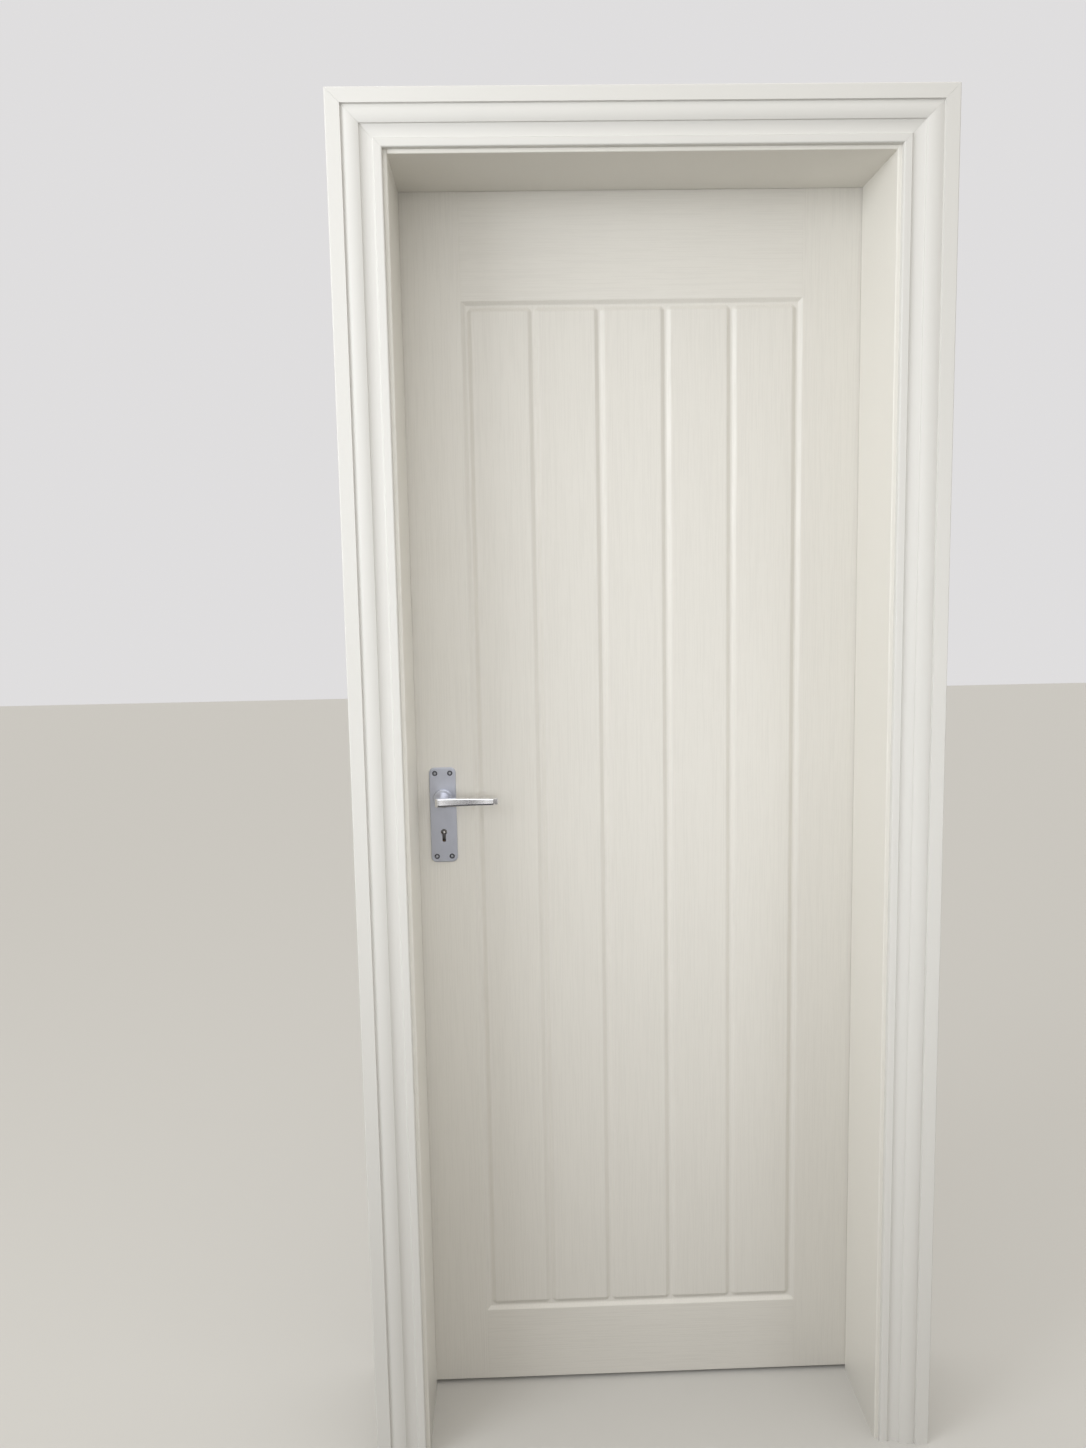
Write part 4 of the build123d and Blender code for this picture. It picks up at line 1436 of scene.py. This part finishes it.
@dataclass
class Levers:
    """The two lever handles: a hand bar on a flared neck, with the shank that turns in the boss.

    The bar's front, the start of the neck, the groove, the shank's end and the socket's depth are
    counted out from the leaf's skin. The bar's reach and overhang are counted from the spindle.
    """

    metal: bpy.types.Material
    front: float = 0.048
    thickness: float = 0.011
    overhang: float = 0.011
    reach: float = 0.092
    bow: float = 0.0022
    edge: float = 0.0022
    under_edge: float = 0.0042
    root_height: float = 0.0148
    tip_height: float = 0.0116
    tip_length: float = 0.008
    tip_return: float = 0.006
    tip_edge: float = 0.001
    bend_reach: float = 0.0002
    root_round: float = 0.0049
    neck_start: float = 0.0083
    neck_root: float = 0.011
    neck_end: float = 0.0068
    neck_middle: float = 0.00785
    shank: float = 0.008
    shank_end: float = 0.001
    groove_radius: float = 0.007
    groove: Pair = (0.0033, 0.0046)
    socket: float = 0.00405
    socket_depth: float = 0.026
    root_steps: int = 8
    bar_steps: int = 24
    tip_steps: int = 5
    edge_steps: int = 6
    turned_steps: int = 56

    @property
    def root(self) -> float:
        """The place of the bar's root end, along the bar from the spindle."""
        return -self.overhang

    @property
    def bend(self) -> float:
        """The place where the bar bends in towards its tip."""
        return self.reach - self.tip_length

    def stations(self) -> list[float]:
        """Works out where along the bar its sections are.

        Returns:
            The places, in order from the root.
        """
        start, bend, steps = self.root + self.root_round, self.bend, self.bar_steps
        places = {start - self.root_round * math.cos(angle) for angle in quarter(self.root_steps)}
        places.update(start + (bend - start) * step / steps for step in range(1, steps))
        places.update(bend + step * self.bend_reach for step in (-3, -1, 1, 3))
        places.update(bend + self.tip_length * step / self.tip_steps for step in range(1, self.tip_steps))
        tip = self.reach - self.tip_edge
        places.update(tip + self.tip_edge * math.sin(angle) for angle in quarter(self.root_steps // 2))
        return sorted(places)

    def section(self, x: float) -> BarSection:
        """Works out the bar's section at a place along it.

        Args:
            x: The place, along the bar from the spindle.

        Returns:
            The section.
        """
        start, bend = self.root + self.root_round, self.bend
        share = min(max((x - start) / (bend - start), 0.0), 1.0)
        hollow = self.bow * 4 * share * (1 - share)
        out = self.front - hollow
        back = self.front - self.thickness - hollow / 2
        taper = max(x, 0.0) / self.reach
        half = (self.root_height + (self.tip_height - self.root_height) * taper) / 2
        tip = fall(self.tip_edge, x - self.reach + self.tip_edge)
        drawn = fall(self.root_round, start - x) + tip / 2
        half -= fall(self.edge, self.root + self.edge - x) + tip
        out -= drawn + self.tip_return * max(x - bend, 0.0) / self.tip_length
        back += drawn
        return BarSection(x, (out + back) / 2, (out - back) / 2, half)

    def neck(self) -> list[Pair]:
        """Works out the shank, the groove of its ring and the flared neck.

        Returns:
            The height and the radius of their rings, from the skin outwards.
        """
        near, far = self.groove
        shank = [(self.shank_end, self.shank), (near, self.shank), (near, self.groove_radius)]
        shank += [(far, self.groove_radius), (far, self.shank), (self.neck_start, self.shank)]
        inside = self.front - self.thickness / 2
        middle = ((self.neck_start + inside) / 2, self.neck_middle)
        flare = arc((self.neck_start, self.neck_root), middle, (inside, self.neck_end), self.bar_steps)
        return [*shank, *flare]

    def build(self, face: Face) -> None:
        """Builds one lever.

        Args:
            face: The side of the leaf that it is on.
        """
        node = face.node("lever")
        spindle = node_centre("spindle")
        _, skin = face.sides(face.node("skin"))
        draft = MeshDraft()

        def at(x: float, out: float, z: float) -> Vector:
            """Returns a point counted from the spindle and out from the skin."""
            return Vector((spindle.x + x, skin + face.value * out, spindle.z + z))

        bar = []
        for cut in map(self.section, self.stations()):
            size = (cut.half_depth, cut.half_height, self.edge, self.edge_steps, self.under_edge)
            outline = rounded_rectangle(*size)
            bar.append(draft.loop(at(cut.along, cut.out + out, z) for out, z in outline))
        draft.bridge(bar)
        draft.mesh.faces.new(bar[0])
        draft.mesh.faces.new(bar[-1])
        rings = []
        for out, radius in self.neck():
            rings.append(draft.loop(at(x, out, z) for x, z in circle(radius, self.turned_steps)))
        draft.bridge(rings)
        draft.mesh.faces.new(rings[-1])
        side = self.socket
        square = ((side, side), (-side, side), (-side, -side), (side, -side))
        ends = (self.shank_end, self.socket_depth)
        socket = [draft.loop(at(x, out, z) for x, z in square) for out in ends]
        draft.bridge(socket)
        draft.mesh.faces.new(socket[-1])
        draft.fill(rings[0], socket[0])
        made = draft.build(f"{node}_turned", self.metal)
        settle(made, Body.HANDLES, "furniture_aluminium", node)


@dataclass
class Metalwork:
    """The hinges, the lock, the strike plate and the lever furniture."""

    plate: SatinMetal = SatinMetal("satin_aluminium", (0.62, 0.64, 0.72), 0.32)
    # The countersinks' dark metal is painted shade round the screw heads.
    seat: SatinMetal = SatinMetal("painted_shade_countersink", (0.13, 0.13, 0.15), 0.5)
    lever: SatinMetal = SatinMetal("polished_aluminium", (0.92, 0.92, 0.95), 0.14, relief=0.000002)
    hinge: SatinMetal = SatinMetal("satin_hinge_steel", (0.50, 0.51, 0.53), 0.34)
    plated: SatinMetal = SatinMetal("plated_lock_steel", (0.46, 0.46, 0.46), 0.42)
    brass: SatinMetal = SatinMetal("bolt_brass", (0.72, 0.53, 0.25), 0.30)
    spring: SatinMetal = SatinMetal("spring_steel", (0.30, 0.30, 0.32), 0.35)
    screw: SatinMetal = SatinMetal("screw_steel", (0.82, 0.83, 0.87), 0.24)
    softened: float = 0.0003
    ward_lap: float = 0.0004

    def build(self) -> None:
        """Builds and finishes the metal pieces."""
        screws = Screws(self.screw.material())
        plates = Backplates(self.plate.material(), self.seat.material(), screws)
        levers = Levers(self.lever.material())
        for face in Face:
            plates.build(face)
            levers.build(face)
            screws.build(face.node("plate_screws"), Body.LEAF)
        for node in ("hinge_door_screws", "forend_screws", "lock_cover_screws"):
            screws.build(node, Body.LEAF)
        for node in ("hinge_frame_screws", "strike_screws", "lining_head_screws"):
            screws.build(node, Body.FRAME)
        hinge = self.hinge.material()
        for place in HINGES:
            parts = (f"hinge_{place}_{part}" for part in ("frame_leaf", "door_leaf", "pin"))
            dress(hinge, *parts, rounded=True)
        plated = self.plated.material()
        KeyWard(plated, plates.keyhole(self.ward_lap)).build()
        dress(plated, "strike_plate", "forend", softened=self.softened)
        inside = ("lock_case", "lock_cover", "follower", "spindle", "front_circlip", "rear_circlip")
        dress(plated, *inside, rounded=True)
        dress(plated, "lever_grub_screws")
        dress(self.spring.material(), "latch_spring", rounded=True)
        dress(self.brass.material(), "latch_bolt", "deadbolt", softened=self.softened)


# Light and camera


@dataclass(frozen=True)
class SoftLamp:
    """A soft rectangular lamp."""

    name: str
    place: Place
    aim: Place
    size: Pair
    power: float
    spread: float = 180.0
    mirrored: bool = True
    tint: Colour = (0.93, 0.965, 1.0)

    def hang(self) -> None:
        """Puts the lamp in the scene."""
        lamp = bpy.data.lights.new(self.name, "AREA")
        lamp.color = self.tint
        lamp.shape = "RECTANGLE"
        lamp.size, lamp.size_y = self.size
        lamp.energy = self.power
        lamp.spread = math.radians(self.spread)
        made = placed(self.name, lamp)
        made.visible_glossy = self.mirrored
        made.location = self.place
        aim = Vector(self.aim) - Vector(self.place)
        made.rotation_euler = aim.to_track_quat("-Z", "Y").to_euler()


@dataclass
class Studio:
    """A pale floor, soft light from the upper left and the photograph's camera."""

    floor_colour: Colour = (0.60, 0.59, 0.57)
    floor_bounce: Colour = (0.185, 0.175, 0.155)
    # The floor's colours in mirrors, pale far off and dark near the door, are a painted reflection.
    floor_mirrored: Colour = (0.97, 0.975, 0.99)
    painted_dark_floor_reflection: Colour = (0.05, 0.05, 0.055)
    floor_rough: Pair = (0.7, 0.05)
    dark_reflection_reach: Pair = (1.8, 3.6)
    tooth: Grain = Grain(300.0, 300.0)
    relief: float = 0.00002
    floor_gloss: float = 0.2
    backdrop: Colour = (0.74, 0.73, 0.735)
    fill: Colour = (0.935, 0.908, 0.855)
    # In mirrors the surroundings are painted: a painted highlight overhead and a painted dark reflection
    # at the sides.
    mirror: float = 1.0
    overhead: float = 1.5
    overhead_rise: Pair = (0.25, 0.85)
    sides: float = 0.22
    sides_reach: Pair = (0.60, 0.92)
    lamps: tuple[SoftLamp, ...] = (
        SoftLamp("left_lamp", (-2.6, -1.9, 2.1), (0.2, 0.0, 2.8), (1.5, 1.2), 45.0),
        SoftLamp("front_lamp", (-0.7, -1.7, 2.0), (0.3, 0.0, 3.2), (1.5, 1.0), 8.0),
        SoftLamp("low_lamp", (-0.1, -2.2, 1.15), (-0.1, 0.0, 1.1), (1.2, 0.6), 0.85, 54.0, False),
        SoftLamp("right_lamp", (1.4, -1.5, 1.0), (0.45, -0.1, 0.85), (0.5, 1.4), 0.6, 60.0, False),
    )
    card_colour: Colour = (0.03, 0.03, 0.035)
    card_finish: Pair = (0.9, 0.1)
    card_place: Point = (-0.37, -2.4)
    card_size: Pair = (0.34, 1.6)
    camera_place: Place = (-0.2086, -1.887, 1.430)
    camera_turn: Place = (82.6893, 1.0757, -1.7263)
    lens: float = 29.31
    film: float = 36.0
    floor_reach: float = 12.0

    def sheet(self, material: bpy.types.Material, corners: Sequence[Place]) -> bpy.types.Object:
        """Puts a flat sheet on the stage.

        Args:
            material: Its material, which gives it its name.
            corners: Its corners.

        Returns:
            The sheet, with its upper side up where it lies flat.
        """
        draft = MeshDraft()
        draft.mesh.faces.new(draft.loop(corners))
        made = draft.build(material.name, material)
        if made.data.polygons[0].normal.z < -0.5:
            made.data.flip_normals()
        return made

    def floor(self) -> None:
        """Lays the floor, which throws little of the light back up at the leaf."""
        coat = Coat("studio_floor")
        graph = coat.graph
        tooth = graph.noise(self.tooth)
        seen, mirrored = graph.rays()
        _, y, _ = graph.split(graph.place())
        tint = graph.blend(seen, self.floor_bounce, self.floor_colour)
        # Painted reflection: what mirrors see is dark near the door and pale further off; it lights
        # nothing.
        shine = graph.blend(abs(y).ramp(*self.dark_reflection_reach), self.painted_dark_floor_reflection, self.floor_mirrored)
        tint = graph.blend(mirrored, tint, shine)
        plain, uneven = self.floor_rough
        material = coat.surface(tint, plain + uneven * tooth, tooth, self.relief, gloss=self.floor_gloss)
        reach = self.floor_reach
        corners = ((-reach, -reach), (reach, -reach), (reach, reach), (-reach, reach))
        self.sheet(material, [(x, y, 0.0) for x, y in corners])

    def flag(self) -> None:
        """Stands a dark card behind the camera, which only the metal mirrors: a painted dark reflection.
        """
        coat = Coat("dark_card")
        tooth = coat.graph.noise(self.tooth)
        rough, gloss = self.card_finish
        material = coat.surface(self.card_colour, rough, tooth, self.relief, gloss=gloss)
        x, y = self.card_place
        half, top = self.card_size[0] / 2, self.card_size[1]
        corners = ((x - half, y, 0.0), (x + half, y, 0.0), (x + half, y, top), (x - half, y, top))
        card = self.sheet(material, corners)
        card.visible_camera = card.visible_diffuse = card.visible_shadow = False

    def surroundings(self) -> None:
        """Sets the pale surroundings, which light the part evenly."""
        world = bpy.data.worlds.new("pale_surroundings")
        world.use_nodes = True
        bpy.context.scene.world = world
        graph = Graph(world.node_tree)
        seen, mirrored = graph.rays()
        aside, _, rise = graph.split(graph.signal("ShaderNodeTexCoord", {}, {}, "Generated"))
        # Painted highlight overhead and painted dark sides, seen only in mirrors; they light nothing.
        shine = graph.blend(rise.ramp(*self.overhead_rise), grey(self.mirror), grey(self.overhead))
        shine = graph.blend(abs(aside).ramp(*self.sides_reach), shine, grey(self.sides))
        tint = graph.blend(mirrored, self.fill, shine)
        tint = graph.blend(seen, tint, self.backdrop)
        background = graph.signal("ShaderNodeBackground", {}, {"Color": tint, "Strength": 1.0})
        graph.node("ShaderNodeOutputWorld", {}, {"Surface": background})

    def camera(self) -> None:
        """Sets the photograph's camera."""
        lens = bpy.data.cameras.new("photo_camera")
        lens.lens = self.lens
        lens.sensor_width = self.film
        lens.dof.use_dof = False
        camera = placed("photo_camera", lens)
        camera.location = self.camera_place
        camera.rotation_euler = Euler([math.radians(angle) for angle in self.camera_turn], "XYZ")
        bpy.context.scene.camera = camera

    def build(self) -> None:
        """Sets the floor, the lights and the camera."""
        self.floor()
        self.flag()
        self.surroundings()
        for lamp in self.lamps:
            lamp.hang()
        self.camera()
        bpy.context.scene.view_settings.view_transform = "Standard"


def main() -> None:
    """Builds the looks in order and reports each piece."""
    logging.basicConfig(level=logging.INFO, format="%(name)s: %(message)s")
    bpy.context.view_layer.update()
    Lining().dress()
    Architraves().build()
    Leaf().build()
    Metalwork().build()
    Studio().build()


if __name__ == "__main__":
    main()
